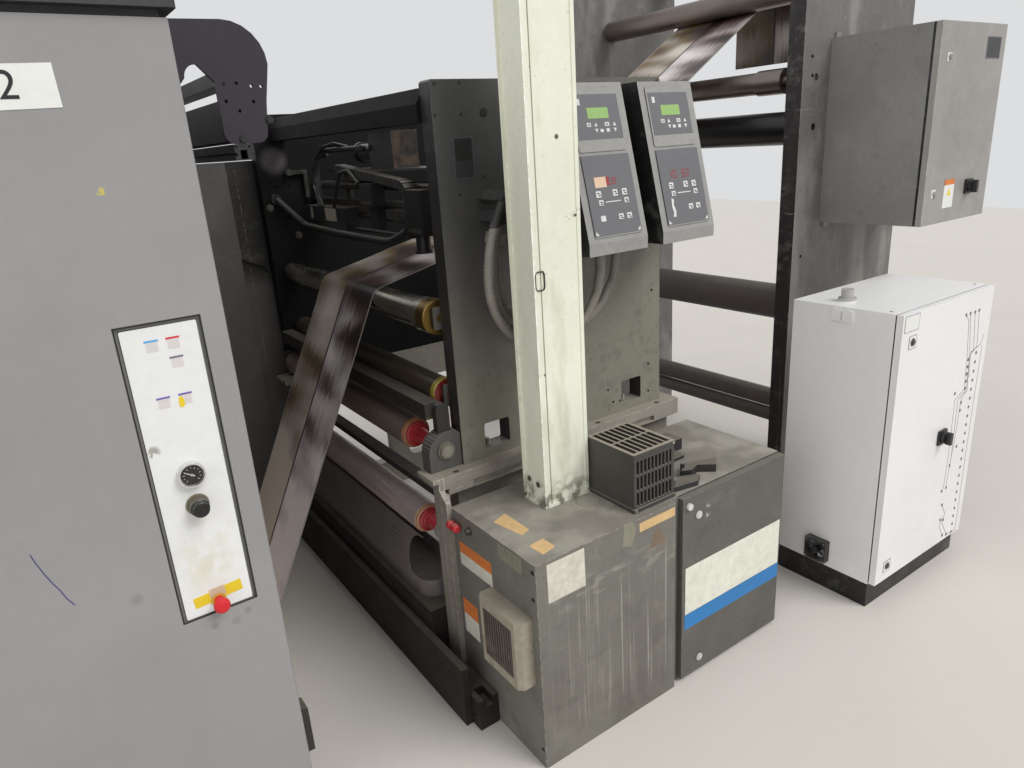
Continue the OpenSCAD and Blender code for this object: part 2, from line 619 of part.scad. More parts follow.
module idler_roller() color("#b9bcbf") turned_y(idler_p, [[0, inner_y], [journal_r - fit, inner_y],
  [journal_r - fit, inner_y + end_gap], [idler_r + ring - 3, inner_y + end_gap],
  [idler_r + ring, inner_y + end_gap + 3], [idler_r + ring, inner_y + end_gap + 80],
  [idler_r, inner_y + end_gap + 83], [idler_r, drive_y - end_gap],
  [journal_r - fit, drive_y - end_gap], [journal_r - fit, drive_y2 - 4], [0, drive_y2 - 4]]);
module rubber_roller() color("#3d3a38") turned_y(rubber_p, [[0, inner_y], [journal_r - fit, inner_y],
  [journal_r - fit, inner_y + end_gap], [24, inner_y + end_gap], [28, inner_y + end_gap + 8],
  [rubber_r - 3, inner_y + end_gap + 10], [rubber_r, inner_y + end_gap + 13], [rubber_r, inner_y + end_gap + 34],
  [rubber_r - 3, inner_y + end_gap + 36], [rubber_r - 3, drive_y - end_gap],
  [journal_r - fit, drive_y - end_gap], [journal_r - fit, drive_y2 - 4], [0, drive_y2 - 4]]);
// roller with a cone and a stepped hub at its operator end
module hub_roller(p, r, y_start, bearing_y, hub_y) color("#5a4f4c") turned_y(p, [[0, y_start],
  [journal_r - fit, y_start], [journal_r - fit, bearing_y + 4], [journal_r + 3, bearing_y + 6],
  [26, hub_y - 4], [26, hub_y + 2], [r - 19, hub_y + 4], [r - 19, hub_y + 10], [r - 11, hub_y + 13],
  [r - 11, hub_y + 20], [r - 4, hub_y + 23], [r - 4, hub_y + 29], [r, hub_y + 30], [r, drive_y - end_gap],
  [journal_r - fit, drive_y - end_gap], [journal_r - fit, drive_y2 - 4], [0, drive_y2 - 4]]);
module upper_transfer_roller() hub_roller(upper_p, upper_r, 21, plate_t, 178);
module lower_transfer_roller() hub_roller(lower_p, lower_r, 2, 20, 84);

/* register cameras on their slide, seen from the unit */
slide_x = stand_x + 140;
slide_z = 1455;
slide_h = 70;
slide_w = 55;
rod_r = 16;
shelf_z = slide_z + 177;
shelf_y = [269, 1133];
chain_t = 22;
chain_r = 52;
module camera_rail() color("#2b2c2f") {
  along_y(inner_y, drive_y) difference() {
    polygon(box_points(slide_x, slide_z, slide_x + slide_w, slide_z + slide_h));
    for (z = [20, 50]) translate([slide_x, slide_z + z]) circle(r = 6);
  }
  rod_y([slide_x + 20, slide_z + 125], inner_y, drive_y, rod_r);
  // bracket on the drive plate
  block([slide_x - 38, drive_y - 26, shelf_z - 103], [slide_x - 22, drive_y, shelf_z + 13]);
  block([slide_x - 112, drive_y - 26, shelf_z - 3], [slide_x - 22, drive_y - 10, shelf_z + 13]);
  rod_y([slide_x - 101, shelf_z + 6], drive_y - 40, drive_y, 13);
  // shelf on two posts behind the rod
  block([slide_x, shelf_y[0], shelf_z], [slide_x + 140, shelf_y[1], shelf_z + 8]);
  for (y = [shelf_y[0] + 40, shelf_y[1] - 80])
    block([slide_x + slide_w - 14, y, slide_z + slide_h], [slide_x + slide_w, y + 40, shelf_z]);
}
module camera_heads() color("#202124") {
  // near head with its lens
  block([slide_x - 52, 283, slide_z - 26], [slide_x - touch, 392, slide_z + 120]);
  rod_z(slide_x - 26, 337, slide_z - 75, slide_z - 26, 24);
  rod_z(slide_x - 26, 337, slide_z - 84, slide_z - 75, 30);
  // far head
  block([slide_x - 52, 644, slide_z + 56], [slide_x - touch, 746, slide_z + 137]);
  block([slide_x - 30, 660, slide_z - 30], [slide_x - touch, 730, slide_z + 56]);
  // long box and its lamp bar
  block([slide_x - 60, 900, slide_z - 13], [slide_x - touch, 1304, slide_z + 45]);
  rod_y([slide_x - 30, slide_z - 34], 392, 900, 7);
  block([slide_x - 44, 884, slide_z - 42], [slide_x - 16, 930, slide_z - 13]);
  // motor box on the shelf
  block([slide_x, 546, shelf_z + 8], [slide_x + 100, 738, shelf_z + 133]);
  rod_y([slide_x + 45, shelf_z + 66], 738, 900, 32);
  rod_y([slide_x + 45, shelf_z + 66], 890, 904, 40);
}
// cable chain and the two cables of the heads
module camera_cables() color("#1b1b1d") {
  let (y = 458, z = shelf_z - 40 - chain_r)
    along_x(slide_x - 38, slide_x - touch) polygon(concat(
      [[976, shelf_z + 14 + chain_t / 2]], arc([y, z], chain_r + chain_t / 2, 97, 270, 14),
      [[560, z - chain_r - chain_t / 2], [560, z - chain_r + chain_t / 2]],
      arc([y, z], chain_r - chain_t / 2, 270, 97, 14), [[976, shelf_z + 14 - chain_t / 2]]));
  // hose from its gland in the drive plate along under the heads
  rod_y([drive_x + 53, 1532], drive_y - 16, drive_y + 30, 22 - touch);
  rod([drive_x + 53, drive_y - 16, 1532], [slide_x - 76, 1312, slide_z - 40], 13);
  rod([slide_x - 78, 1318, slide_z - 38], [slide_x - 62, 1000, slide_z - 54], 11);
  rod([slide_x - 62, 1010, slide_z - 53], [slide_x - 62, 560, slide_z - 58], 11);
  // loop from the motor box over and down into the long box
  let (x = slide_x - 22, y = 1130, z = shelf_z + 83, r = 100) {
    rod_y([x, z], 760, y, 10);
    translate([x, y, z - r]) rotate([90, 0, 90]) rotate_extrude(angle = 90) translate([r, 0]) circle(r = 10);
    rod_z(x, y + r, slide_z + 45, z - r, 10);
    rod_x(x - 10, slide_x, 770, z, 10);
  }
}
module paper_web() color("#8d8378") along_y(web_y, web_y + web_w) let (p = web_line(), n = len(p))
  polygon(concat([for (i = [0:n - 1]) p[i] + normal_at(p, i) * web_t / 2],
    [for (i = [n - 1:-1:0]) p[i] - normal_at(p, i) * web_t / 2]));

/* barrel hinges on the right side of the three cabinets */
pin_r = 3;
barrel_r = 6;
door_gap = 1;
module hinge_case(x, y, z) {
  for (k = [-1, 1]) along_z(z + k * 20 - 10, z + k * 20 + 10) {
    translate([x + barrel_r, y]) circle(r = barrel_r);
    translate([x, y]) square([barrel_r, 18]);
  }
  translate([x + barrel_r, y, z - 30]) cylinder(h = 60, r = pin_r);
}
module hinge_door(x, y, z) difference() {
  along_z(z - 9.5, z + 9.5) {
    translate([x + barrel_r, y]) circle(r = barrel_r);
    translate([x, y - 16]) square([barrel_r, 16]);
  }
  translate([x + barrel_r, y, z - 10]) cylinder(h = 20, r = pin_r + fit);
}
// round quarter-turn lock standing on a door face
module door_lock(x, y, z, r) {
  rod_y([x, z], y - 4, y, r);
  rod_y([x, z], y - 7, y - 3, r - 5);
}

/* floor cabinet */
cab_x2 = cab_x + cab_w;
cab_front = -cab_d;
cab_seam = cab_x2 - cab_door_w;
cab_hinge_y = cab_front + cab_door_t + door_gap / 2;
module floor_cabinet_case() color("#5b5d5f") {
  difference() {
    union() {
      block([cab_x, cab_front, 0], [cab_seam - cab_post_w, cab_back, cab_h]);
      block([cab_seam - cab_post_w, cab_front + 20, 0], [cab_seam, cab_back, cab_h]);
      block([cab_seam, cab_front + cab_door_t + door_gap, 0], [cab_x2, cab_back, cab_h]);
    }
    block([cab_seam + sheet, cab_front - 1, cab_door_z + 20], [cab_x2 - sheet, cab_back - sheet, cab_h - sheet]);
  }
  for (z = [cab_door_z + 110, cab_h - 90]) hinge_case(cab_x2, cab_hinge_y, z);
}
module floor_cabinet_door() color("#616365") {
  block([cab_seam, cab_front, cab_door_z], [cab_x2, cab_front + cab_door_t, cab_h - 4]);
  for (z = [cab_door_z + 110, cab_h - 90]) hinge_door(cab_x2, cab_hinge_y, z);
  door_lock(cab_seam + 68, cab_front, cab_h - 76, 13);
  door_lock(cab_seam + 83, cab_front, cab_door_z + 48, 13);
  rod_y([cab_seam + 24, cab_h - 33], cab_front - 9, cab_front, 11);
}
// filter box: chamfered frame round a field of upright slats
filter_y = -468;
filter_z = 275;
filter_rim = 30;
slat_step = 12;
module side_filter_box() color("#77776f") let (x0 = cab_x - filter_d, y1 = filter_y + filter_w, z1 = filter_z + filter_h)
  difference() {
    along_z(filter_z, z1) polygon([[cab_x, filter_y], [cab_x, y1], [x0 + 14, y1], [x0, y1 - 14],
      [x0, filter_y + 14], [x0 + 14, filter_y]]);
    block([x0 - 1, filter_y + filter_rim, filter_z + filter_rim], [x0 + 6, y1 - filter_rim, z1 - filter_rim]);
    for (y = [filter_y + filter_rim + 6:slat_step:y1 - filter_rim - 8])
      block([x0, y, filter_z + filter_rim + 6], [x0 + 16, y + 6, z1 - filter_rim - 6]);
  }
riser_bead = 4;
seam_w = 22;
module cable_riser() color("#c4cbb4") difference() {
  union() {
    block([riser_x, riser_y, cab_h], [riser_x + riser_w, riser_y + riser_d, riser_h]);
    block([riser_x - riser_bead, riser_y - riser_bead, cab_h],
      [riser_x + riser_w + riser_bead, riser_y + riser_d + riser_bead, cab_h + 8]);
    // folded hems down the front corners
    for (x = [riser_x - 2, riser_x + riser_w - 10])
      block([x, riser_y - 3, cab_h + 4], [x + 12, riser_y + 1, riser_h - 4]);
    // seam flange at the back left
    block([riser_x - 11, riser_y + riser_d - 3, cab_h + 25],
      [riser_x - 11 + seam_w, riser_y + riser_d, riser_h - 30]);
    block([riser_x - flange_w, riser_y - flange_w, riser_h - 8],
      [riser_x + riser_w + flange_w, riser_y + riser_d + flange_w, riser_h]);
  }
  for (x = [riser_x - flange_w / 2, riser_x + riser_w + flange_w / 2])
    for (y = [riser_y - flange_w / 2, riser_y + riser_d + flange_w / 2])
      translate([x, y, riser_h - 9]) cylinder(h = 10, r = flange_bolt_r);
}
// ventilated box: three rows of slots in front and on the sides, a mesh field on top
vent_y = -466;
vent_cols = 10;
vent_rows = 3;
vent_deep = 14;
module ventilated_box() color("#1f2022") let (x0 = vent_x, x1 = vent_x + vent_w, y1 = vent_y + vent_d,
    z0 = cab_h, px = (vent_w - 16) / vent_cols, pz = (vent_h - 36) / vent_rows, mx = (vent_w - 12) / 7)
  difference() {
    union() {
      block([x0, vent_y, z0], [x1, y1, z0 + vent_h]);
      block([x0 - 3, vent_y - 3, z0], [x1 + 3, y1 + 3, z0 + 12]);
      block([x0 - 3, vent_y - 3, z0 + vent_h - 10], [x1 + 3, y1 + 3, z0 + vent_h]);
    }
    for (r = [0:vent_rows - 1]) for (c = [0:vent_cols - 1])
      block([x0 + 8 + px * c + px * 0.2, vent_y - 4, z0 + 19 + pz * r],
        [x0 + 8 + px * c + px * 0.8, vent_y + vent_deep, z0 + 19 + pz * r + pz - 7]);
    for (c = [0:6]) for (r = [0, 1])
      block([x0 + 6 + mx * c + 3, vent_y + 10 + r * (vent_d / 2 - 6), z0 + vent_h - vent_deep],
        [x0 + 6 + mx * c + mx - 3, vent_y + 4 + (r + 1) * (vent_d / 2 - 6), z0 + vent_h + 1]);
  }
clamp_t = 16;
module clamp_arms() color("#202123") {
  along_z(cab_h, cab_h + 26) polygon([[1613, -364], [1569, -400], [1600, -416], [1640, -402], [1685, -440], [1728, -405]]);
  along_z(cab_h, cab_h + clamp_t) polygon([[1545, -404], [1482, -451], [1571, -466], [1608, -440], [1590, -424]]);
  rod_z(1591, -384, cab_h, cab_h + 40, 7);
  block([1706, -245, cab_h], [1741, -175, cab_h + 40]);
  along_z(cab_h, cab_h + 9) polygon(round_box(1600, -300, 1700, -240, 12));
}

/* consoles */
console_lip = 35;
console_rim = 8;
module console_body(x) {
  along_x(x, x + console_w) polygon([[-console_d, console_z], [0, console_z], [0, console_z + console_h],
    [-console_top_d, console_z + console_h], [-console_d, console_z + console_lip]]);
  // keypad plates on the sloping front
  translate([x, -console_d, console_z + console_lip])
    rotate([-atan2(console_d - console_top_d, console_h - console_lip), 0, 0]) {
      for (p = [[12, 14, 236], [12, 252, 428]]) let (l = norm([console_d - console_top_d, console_h - console_lip]))
        translate([console_rim + 16, 2, p[1] * l / 443])
          rotate([90, 0, 0]) linear_extrude(5) polygon(round_box(0, 0, console_w - 2 * console_rim - 32,
            (p[2] - p[1]) * l / 443, 6));
    }
}
module consoles() color("#6e6f70") for (k = [0, 1]) console_body(console_x + k * (console_w + console_gap));
bow_r = 420;
bow_z = console_z - 60;
// conduit from a console's underside down, round and up behind the riser to a gland on the plate
module conduit(xa, y, xb, turn) let (r = (xa - xb) / 2, low = 1110 + r) {
  rod_z(xa, y, low - 1, console_z, conduit_r);
  translate([(xa + xb) / 2, y, low]) rotate([90, 0, 0]) rotate([0, 0, 180])
    rotate_extrude(angle = 180) translate([r, 0]) circle(r = conduit_r);
  rod_z(xb, y, low - 1, bow_z + 1, conduit_r);
  translate([xb + bow_r, y, bow_z]) rotate([90, 0, 0]) rotate([0, 0, 180 - turn])
    rotate_extrude(angle = turn) translate([bow_r, 0]) circle(r = conduit_r);
  translate([xb + bow_r * (1 - cos(turn)), 0, bow_z + bow_r * sin(turn)]) rotate([0, turn, 0])
    block([-conduit_r - 4, y - conduit_r - 4, -6], [conduit_r + 4, -touch, 26]);
}
module console_conduits() color("#8d8b85") {
  conduit(console_x + 174, -112, riser_x - 40, 33, $fn = 16);
  conduit(console_x + 210, -80, riser_x - 5, 24, $fn = 16);
  conduit(console_x + 305, -46, riser_x + 30, 15, $fn = 16);
}

/* tower */
tower_cut = 30;
module tower_profile() polygon([[tower_x, 0], [tower_x2, 0], [tower_x2, tower_h - tower_cut],
  [tower_x2 - tower_cut, tower_h], [tower_x + tower_cut, tower_h], [tower_x, tower_h - tower_cut]]);
module tower_bores(y0, y1) for (p = [top_p, middle_p, low_p, exit_p]) rod_y(p, y0, y1, journal_r);
module tower_plate_operator() color("#4e5053") difference() {
  along_y(0, tower_t) tower_profile();
  tower_bores(-1, tower_t + 1);
  for (h = [[64, 1873], [60, 1170], [57, 1942]]) rod_y([tower_x + h[0], h[1]], -1, 14, 7);
}
module tower_plate_drive() color("#4e5053") difference() {
  along_y(drive_y, tower_y2) tower_profile();
  tower_bores(drive_y - 1, tower_y2 + 1);
}
module tower_tie_tubes() color("#3b3735") for (t = [[99, 955, 76], [94, 502, 42], [94, 420, 32]])
  rod_y([tower_x + t[0], t[1]], tower_t, drive_y, t[2]);
// tower roller with a narrower collar at each end
function collar_profile(r) = let (c = r - 10) [[0, 4], [journal_r - fit, 4], [journal_r - fit, tower_t + end_gap],
  [26, tower_t + end_gap], [26, tower_t + 60], [r + 6, tower_t + 62], [r + 6, tower_t + 190], [r, tower_t + 192],
  [r, drive_y - 192], [r + 6, drive_y - 190], [r + 6, drive_y - 62], [26, drive_y - 60], [26, drive_y - end_gap],
  [journal_r - fit, drive_y - end_gap], [journal_r - fit, tower_y2 - 4], [0, tower_y2 - 4]];
module tower_roller_top() color("#3a3a3c") turned_y(top_p, roller_profile(tower_r, tower_t, tower_y2));
module tower_roller_middle() color("#3a3a3c") turned_y(middle_p, collar_profile(tower_r - 6));
module tower_roller_lower() color("#1f1f20") turned_y(low_p, roller_profile(black_r, tower_t, tower_y2));

/* wall cabinet */
wall_x2 = wall_x + wall_w;
wall_front = -wall_d;
wall_hinge_y = wall_front + wall_door_t + door_gap / 2;
module wall_cabinet_case() color("#606264") {
  difference() {
    block([wall_x, wall_front + wall_door_t + door_gap, wall_z], [wall_x2, 0, wall_z + wall_h]);
    block([wall_x + sheet, wall_front, wall_z + sheet], [wall_x2 - sheet, -sheet, wall_z + wall_h - sheet]);
  }
  for (z = [wall_z + 110, wall_z + wall_h - 110]) hinge_case(wall_x2, wall_hinge_y, z);
  // fixing lugs above and below
  for (x = [wall_x + 20, wall_x2 - 50]) for (z = [wall_z - 22, wall_z + wall_h]) block([x, -8, z], [x + 30, 0, z + 22]);
}
wall_switch = [wall_x + 332, wall_z + 123];
white_switch = [white_x + 364, 579];
module wall_cabinet_door() color("#77787a") {
  difference() {
    block([wall_x, wall_front, wall_z], [wall_x2, wall_front + wall_door_t, wall_z + wall_h]);
    rod_y(wall_switch, wall_front - 1, wall_front + wall_door_t + 1, 8 + fit);
  }
  for (z = [wall_z + 110, wall_z + wall_h - 110]) hinge_door(wall_x2, wall_hinge_y, z);
  for (z = [wall_z + 111, wall_z + wall_h - 119]) door_lock(wall_x + 75, wall_front, z, 12);
}
module switch_handle(p, y) color("#161617") {
  along_y(y - 8, y - 0.5) polygon(round_box(p[0] - 28, p[1] - 28, p[0] + 28, p[1] + 28, 4));
  rod_y(p, y - 20, y - 8, 22);
  rod_y(p, y - 1, y + 12, 8);
  along_y(y - handle_out, y - 20) polygon(round_box(p[0] - 8, p[1] - 24, p[0] + 8, p[1] + 24, 5));
}
module wall_cabinet_switch() switch_handle(wall_switch, wall_front);

/* white cabinet */
white_x2 = white_x + white_w;
white_back = white_y + white_d;
door_stand = 3;
white_case_y = white_y + white_door_t + door_stand;
white_hinge_y = white_y + white_door_t + door_gap / 2;
fan_y = -452;
fan_z = plinth_h + 65;
fan_t = 30;
fan_pin_r = 3;
module white_cabinet_case() {
  color("#e8e8ea") difference() {
    block([white_x, white_case_y, plinth_h], [white_x2, white_back, white_h]);
    block([white_x + sheet, white_y, plinth_h + sheet], [white_x2 - sheet, white_back - sheet, white_h - sheet]);
  }
  color("#1e1e20") block([white_x, white_case_y, 0], [white_x2, white_back, plinth_h]);
  color("#e8e8ea") {
    for (z = [plinth_h + 130, white_h - 130]) hinge_case(white_x2, white_hinge_y, z);
    // two blanking caps high on the left side
    for (y = [-449, -490]) along_x(white_x - 7, white_x) polygon(round_box(y - 18, white_h - 50, y + 18, white_h - 9, 5));
  }
  // fan frame with its spider on the left side
  color("#1e1e20") {
    along_x(white_x - fan_t, white_x) difference() {
      polygon(round_box(fan_y - fan_w / 2, fan_z - fan_w / 2, fan_y + fan_w / 2, fan_z + fan_w / 2, 4));
      translate([fan_y, fan_z]) circle(r = fan_w / 2 - 4);
    }
    rod_x(white_x - 5, white_x, fan_y, fan_z, 15);
    rod_x(white_x - fan_t + 3, white_x - 5, fan_y, fan_z, fan_pin_r);
  }
  // cable gland on the roof
  color("#b9bcbf") {
    rod_z(white_x + 90, -429, white_h, white_h + 12, 30);
    rod_z(white_x + 90, -429, white_h + 12, white_h + 42, 21);
  }
}
module white_cabinet_fan() color("#2a2a2c") difference() {
  union() {
    rod_x(white_x - fan_t + 2, white_x - 6, fan_y, fan_z, 14);
    for (a = [0:60:359]) translate([white_x - fan_t / 2 - 2, fan_y, fan_z]) rotate([a, 0, 0])
      translate([0, 0, 22]) rotate([0, 0, 32]) cube([2.5, 17, 20], center = true);
  }
  rod_x(white_x - fan_t + 3, white_x - 5, fan_y, fan_z, fan_pin_r + fit);
}
module white_cabinet_door() color("#ececee") {
  difference() {
    block([white_x + 4, white_y, plinth_h + 3], [white_x2, white_y + white_door_t, white_h - 2]);
    rod_y(white_switch, white_y - 1, white_y + white_door_t + 1, 8 + fit);
  }
  for (z = [plinth_h + 130, white_h - 130]) hinge_door(white_x2, white_hinge_y, z);
  for (z = [plinth_h + 60, white_h - 102]) door_lock(white_x + 75, white_y, z, 12);
}
module white_cabinet_switch() switch_handle(white_switch, white_y);

module in_place() translate(origin) children();
in_place() unit_frame_operator();
in_place() unit_frame_drive();
in_place() unit_operator_housing();
in_place() unit_top_cover();
in_place() unit_drive_housing();
in_place() unit_bed();
in_place() unit_bridge();
in_place() upper_print_couple();
in_place() lower_print_couple();
in_place() unit_turn_roller();
in_place() unit_floor_roller();
in_place() control_panel();
in_place() pressure_gauge();
in_place() regulator_knob();
in_place() stop_button();
in_place() scanner_arm_operator();
in_place() scanner_arm_drive();
in_place() scanner_beams();
in_place() stand_base_operator();
in_place() stand_base_drive();
in_place() stand_base_beams();
in_place() stand_rear_tie();
in_place() stand_plate_operator();
in_place() stand_plate_drive();
in_place() stand_top_beam();
in_place() slotted_guard();
in_place() drip_trough();
in_place() roller_brackets();
in_place() impression_arm();
in_place() stand_bend_roller();
in_place() idler_roller();
in_place() rubber_roller();
in_place() upper_transfer_roller();
in_place() lower_transfer_roller();
in_place() camera_rail();
in_place() camera_heads();
in_place() camera_cables();
in_place() paper_web();
in_place() floor_cabinet_case();
in_place() floor_cabinet_door();
in_place() side_filter_box();
in_place() cable_riser();
in_place() ventilated_box();
in_place() clamp_arms();
in_place() consoles();
in_place() console_conduits();
in_place() tower_plate_operator();
in_place() tower_plate_drive();
in_place() tower_tie_tubes();
in_place() tower_roller_top();
in_place() tower_roller_middle();
in_place() tower_roller_lower();
in_place() tower_exit_roller();
in_place() wall_cabinet_case();
in_place() wall_cabinet_door();
in_place() wall_cabinet_switch();
in_place() white_cabinet_case();
in_place() white_cabinet_door();
in_place() white_cabinet_switch();
in_place() white_cabinet_fan();
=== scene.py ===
# %% [markdown]
# # A web offset press, dressed for the camera
#
# The solids of the press come in ready made and to scale. This notebook gives each of them its
# finish, adds the small things that sit on them, and lights the whole on a plain floor.

# %% Load the packed frame
import bmesh
import bpy
from math import cos, pi, radians, sin
from mathutils import Matrix, Vector

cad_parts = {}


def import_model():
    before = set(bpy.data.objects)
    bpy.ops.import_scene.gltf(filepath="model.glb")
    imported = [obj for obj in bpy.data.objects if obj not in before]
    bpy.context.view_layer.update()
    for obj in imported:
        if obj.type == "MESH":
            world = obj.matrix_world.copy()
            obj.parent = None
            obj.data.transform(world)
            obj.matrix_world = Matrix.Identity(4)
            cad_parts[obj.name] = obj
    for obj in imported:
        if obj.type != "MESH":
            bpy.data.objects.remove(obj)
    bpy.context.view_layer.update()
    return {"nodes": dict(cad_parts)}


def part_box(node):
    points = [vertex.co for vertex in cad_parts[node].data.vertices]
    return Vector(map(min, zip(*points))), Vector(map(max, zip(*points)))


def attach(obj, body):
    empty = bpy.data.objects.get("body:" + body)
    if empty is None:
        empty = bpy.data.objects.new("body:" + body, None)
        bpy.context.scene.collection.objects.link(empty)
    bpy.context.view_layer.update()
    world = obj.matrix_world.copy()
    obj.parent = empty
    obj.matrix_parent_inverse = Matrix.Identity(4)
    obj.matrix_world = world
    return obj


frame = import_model()

# %% [markdown]
# ## Where things are
#
# The drawing of the press has its zero at the stand: x runs along the web, y = 0 is the operator
# face of the side plates, z = 0 the floor. The frame has its zero at the middle of the floor area,
# so one offset, read from a face that both know, carries every drawn place over.

# %% The drawing's zero in the frame
PLATE_X, PLATE_Y = 1.020, 0.0
plate_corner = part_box("stand_plate_operator")[0]
ZERO = Vector((plate_corner[0] - PLATE_X, plate_corner[1] - PLATE_Y, 0.0))


def at(x, y, z):
    """A place of the drawing, in millimetres, as a point of the frame in metres."""
    return Vector((x, y, z)) * 0.001 + ZERO


def level(axis, mm):
    """One drawn coordinate, in millimetres, as the frame's coordinate on that axis."""
    return ZERO["xyz".index(axis)] + mm * 0.001


print("zero of the drawing", [round(v, 4) for v in ZERO])

# %% [markdown]
# ## Camera
#
# A camera is three angles, a place and a focal length. Here it stands where a person stood: eyes
# at 1.7 m, looking along the press and a little down, with the horizon tipped slightly.

# %% Camera
EYE = at(0, -1820, 1700)
HEADING, PITCH, TILT = radians(33.8708), radians(18.4267), radians(3.8134)
LENS_MM, SENSOR_MM = 25.44, 36.0

camera_data = bpy.data.cameras.new("camera")
camera_data.lens = LENS_MM
camera_data.sensor_width = SENSOR_MM
camera_data.clip_end = 60
camera = bpy.data.objects.new("camera", camera_data)
bpy.context.scene.collection.objects.link(camera)
camera.matrix_world = (Matrix.Translation(EYE) @ Matrix.Rotation(-HEADING, 4, "Z")
                       @ Matrix.Rotation(radians(90) - PITCH, 4, "X") @ Matrix.Rotation(-TILT, 4, "Z"))
bpy.context.scene.camera = camera
print("camera at", [round(v, 3) for v in EYE])

# %% [markdown]
# ## Writing node trees as sums
#
# A material is a small machine of nodes and wires. Drawn by hand it sprawls, so one class stands
# for a wire and lets `+`, `-`, `*` and `>` add the Math node that does the work. Every other node
# comes from one function that takes its type, its settings and what its sockets hold.

# %% Wires and nodes
class Wire:
    """One output in a node tree; arithmetic on it adds the Math nodes."""

    def __init__(self, tree, socket):
        self.tree, self.socket = tree, socket

    def math(self, operation, *values, clamp=False):
        return put(self.tree, "ShaderNodeMath", {"operation": operation, "use_clamp": clamp},
                   **{f"i{i}": value for i, value in enumerate(values)})

    def __add__(self, other): return self.math("ADD", self, other)
    def __radd__(self, other): return self.math("ADD", other, self)
    def __sub__(self, other): return self.math("SUBTRACT", self, other)
    def __rsub__(self, other): return self.math("SUBTRACT", other, self)
    def __mul__(self, other): return self.math("MULTIPLY", self, other)
    def __rmul__(self, other): return self.math("MULTIPLY", other, self)
    def __truediv__(self, other): return self.math("DIVIDE", self, other)
    def __gt__(self, other): return self.math("GREATER_THAN", self, other)
    def __lt__(self, other): return self.math("LESS_THAN", self, other)
    def clamp(self): return self.math("ADD", self, 0.0, clamp=True)
    def size(self): return self.math("ABSOLUTE", self)
    def wave(self): return self.math("SINE", self)
    def root(self): return self.math("SQRT", self)


def join(tree, socket, value):
    """Links a wire to a socket, or writes a plain value into it."""
    if isinstance(value, Wire):
        tree.links.new(value.socket, socket)
    elif socket.type == "RGBA" and len(value) == 3:
        socket.default_value = (*value, 1.0)
    else:
        socket.default_value = value


def put(tree, kind, settings=None, out=0, **values):
    """Adds a node. A socket is named, with _ for a space, or numbered as i0, i1 and so on."""
    node = tree.nodes.new(kind)
    for name, value in (settings or {}).items():
        if name == "stops":
            for spare in list(node.color_ramp.elements)[2:]:
                node.color_ramp.elements.remove(spare)
            for i, (stop, colour) in enumerate(value):
                mark = node.color_ramp.elements[i] if i < 2 else node.color_ramp.elements.new(stop)
                mark.position, mark.color = stop, (*colour, 1.0)
        else:
            setattr(node, name, value)
    for name, value in values.items():
        key = int(name[1:]) if name[0] == "i" and name[1:].isdigit() else name.replace("_", " ")
        join(tree, node.inputs[key], value)
    return Wire(tree, node.outputs[out])


print("sums that a wire knows:", ", ".join(name for name in vars(Wire) if name[0] != "_"))

# %% [markdown]
# ## What every finish is made of
#
# Real paint is never one colour: it clouds over a metre, is grained over a millimetre, gathers
# dust where it faces up, dirt near the floor and bright scuffs at its edges. A finish keeps its
# shader and a few such ingredients, all read from the place on the object, so a pattern stays put
# when a door swings and no two neighbouring parts repeat each other.

# %% Colours
def tint(red, green, blue):
    """A colour as a picture shows it, 0 to 255, as the linear numbers that a shader wants."""
    return tuple(v / 255 / 12.92 if v <= 10 else ((v / 255 + 0.055) / 1.055) ** 2.4
                 for v in (red, green, blue))


def shade(colour, factor):
    """The same colour, lighter or darker."""
    return tuple(min(1.0, c * factor) for c in colour)


print("a middle grey is", [round(v, 3) for v in tint(128, 128, 128)])


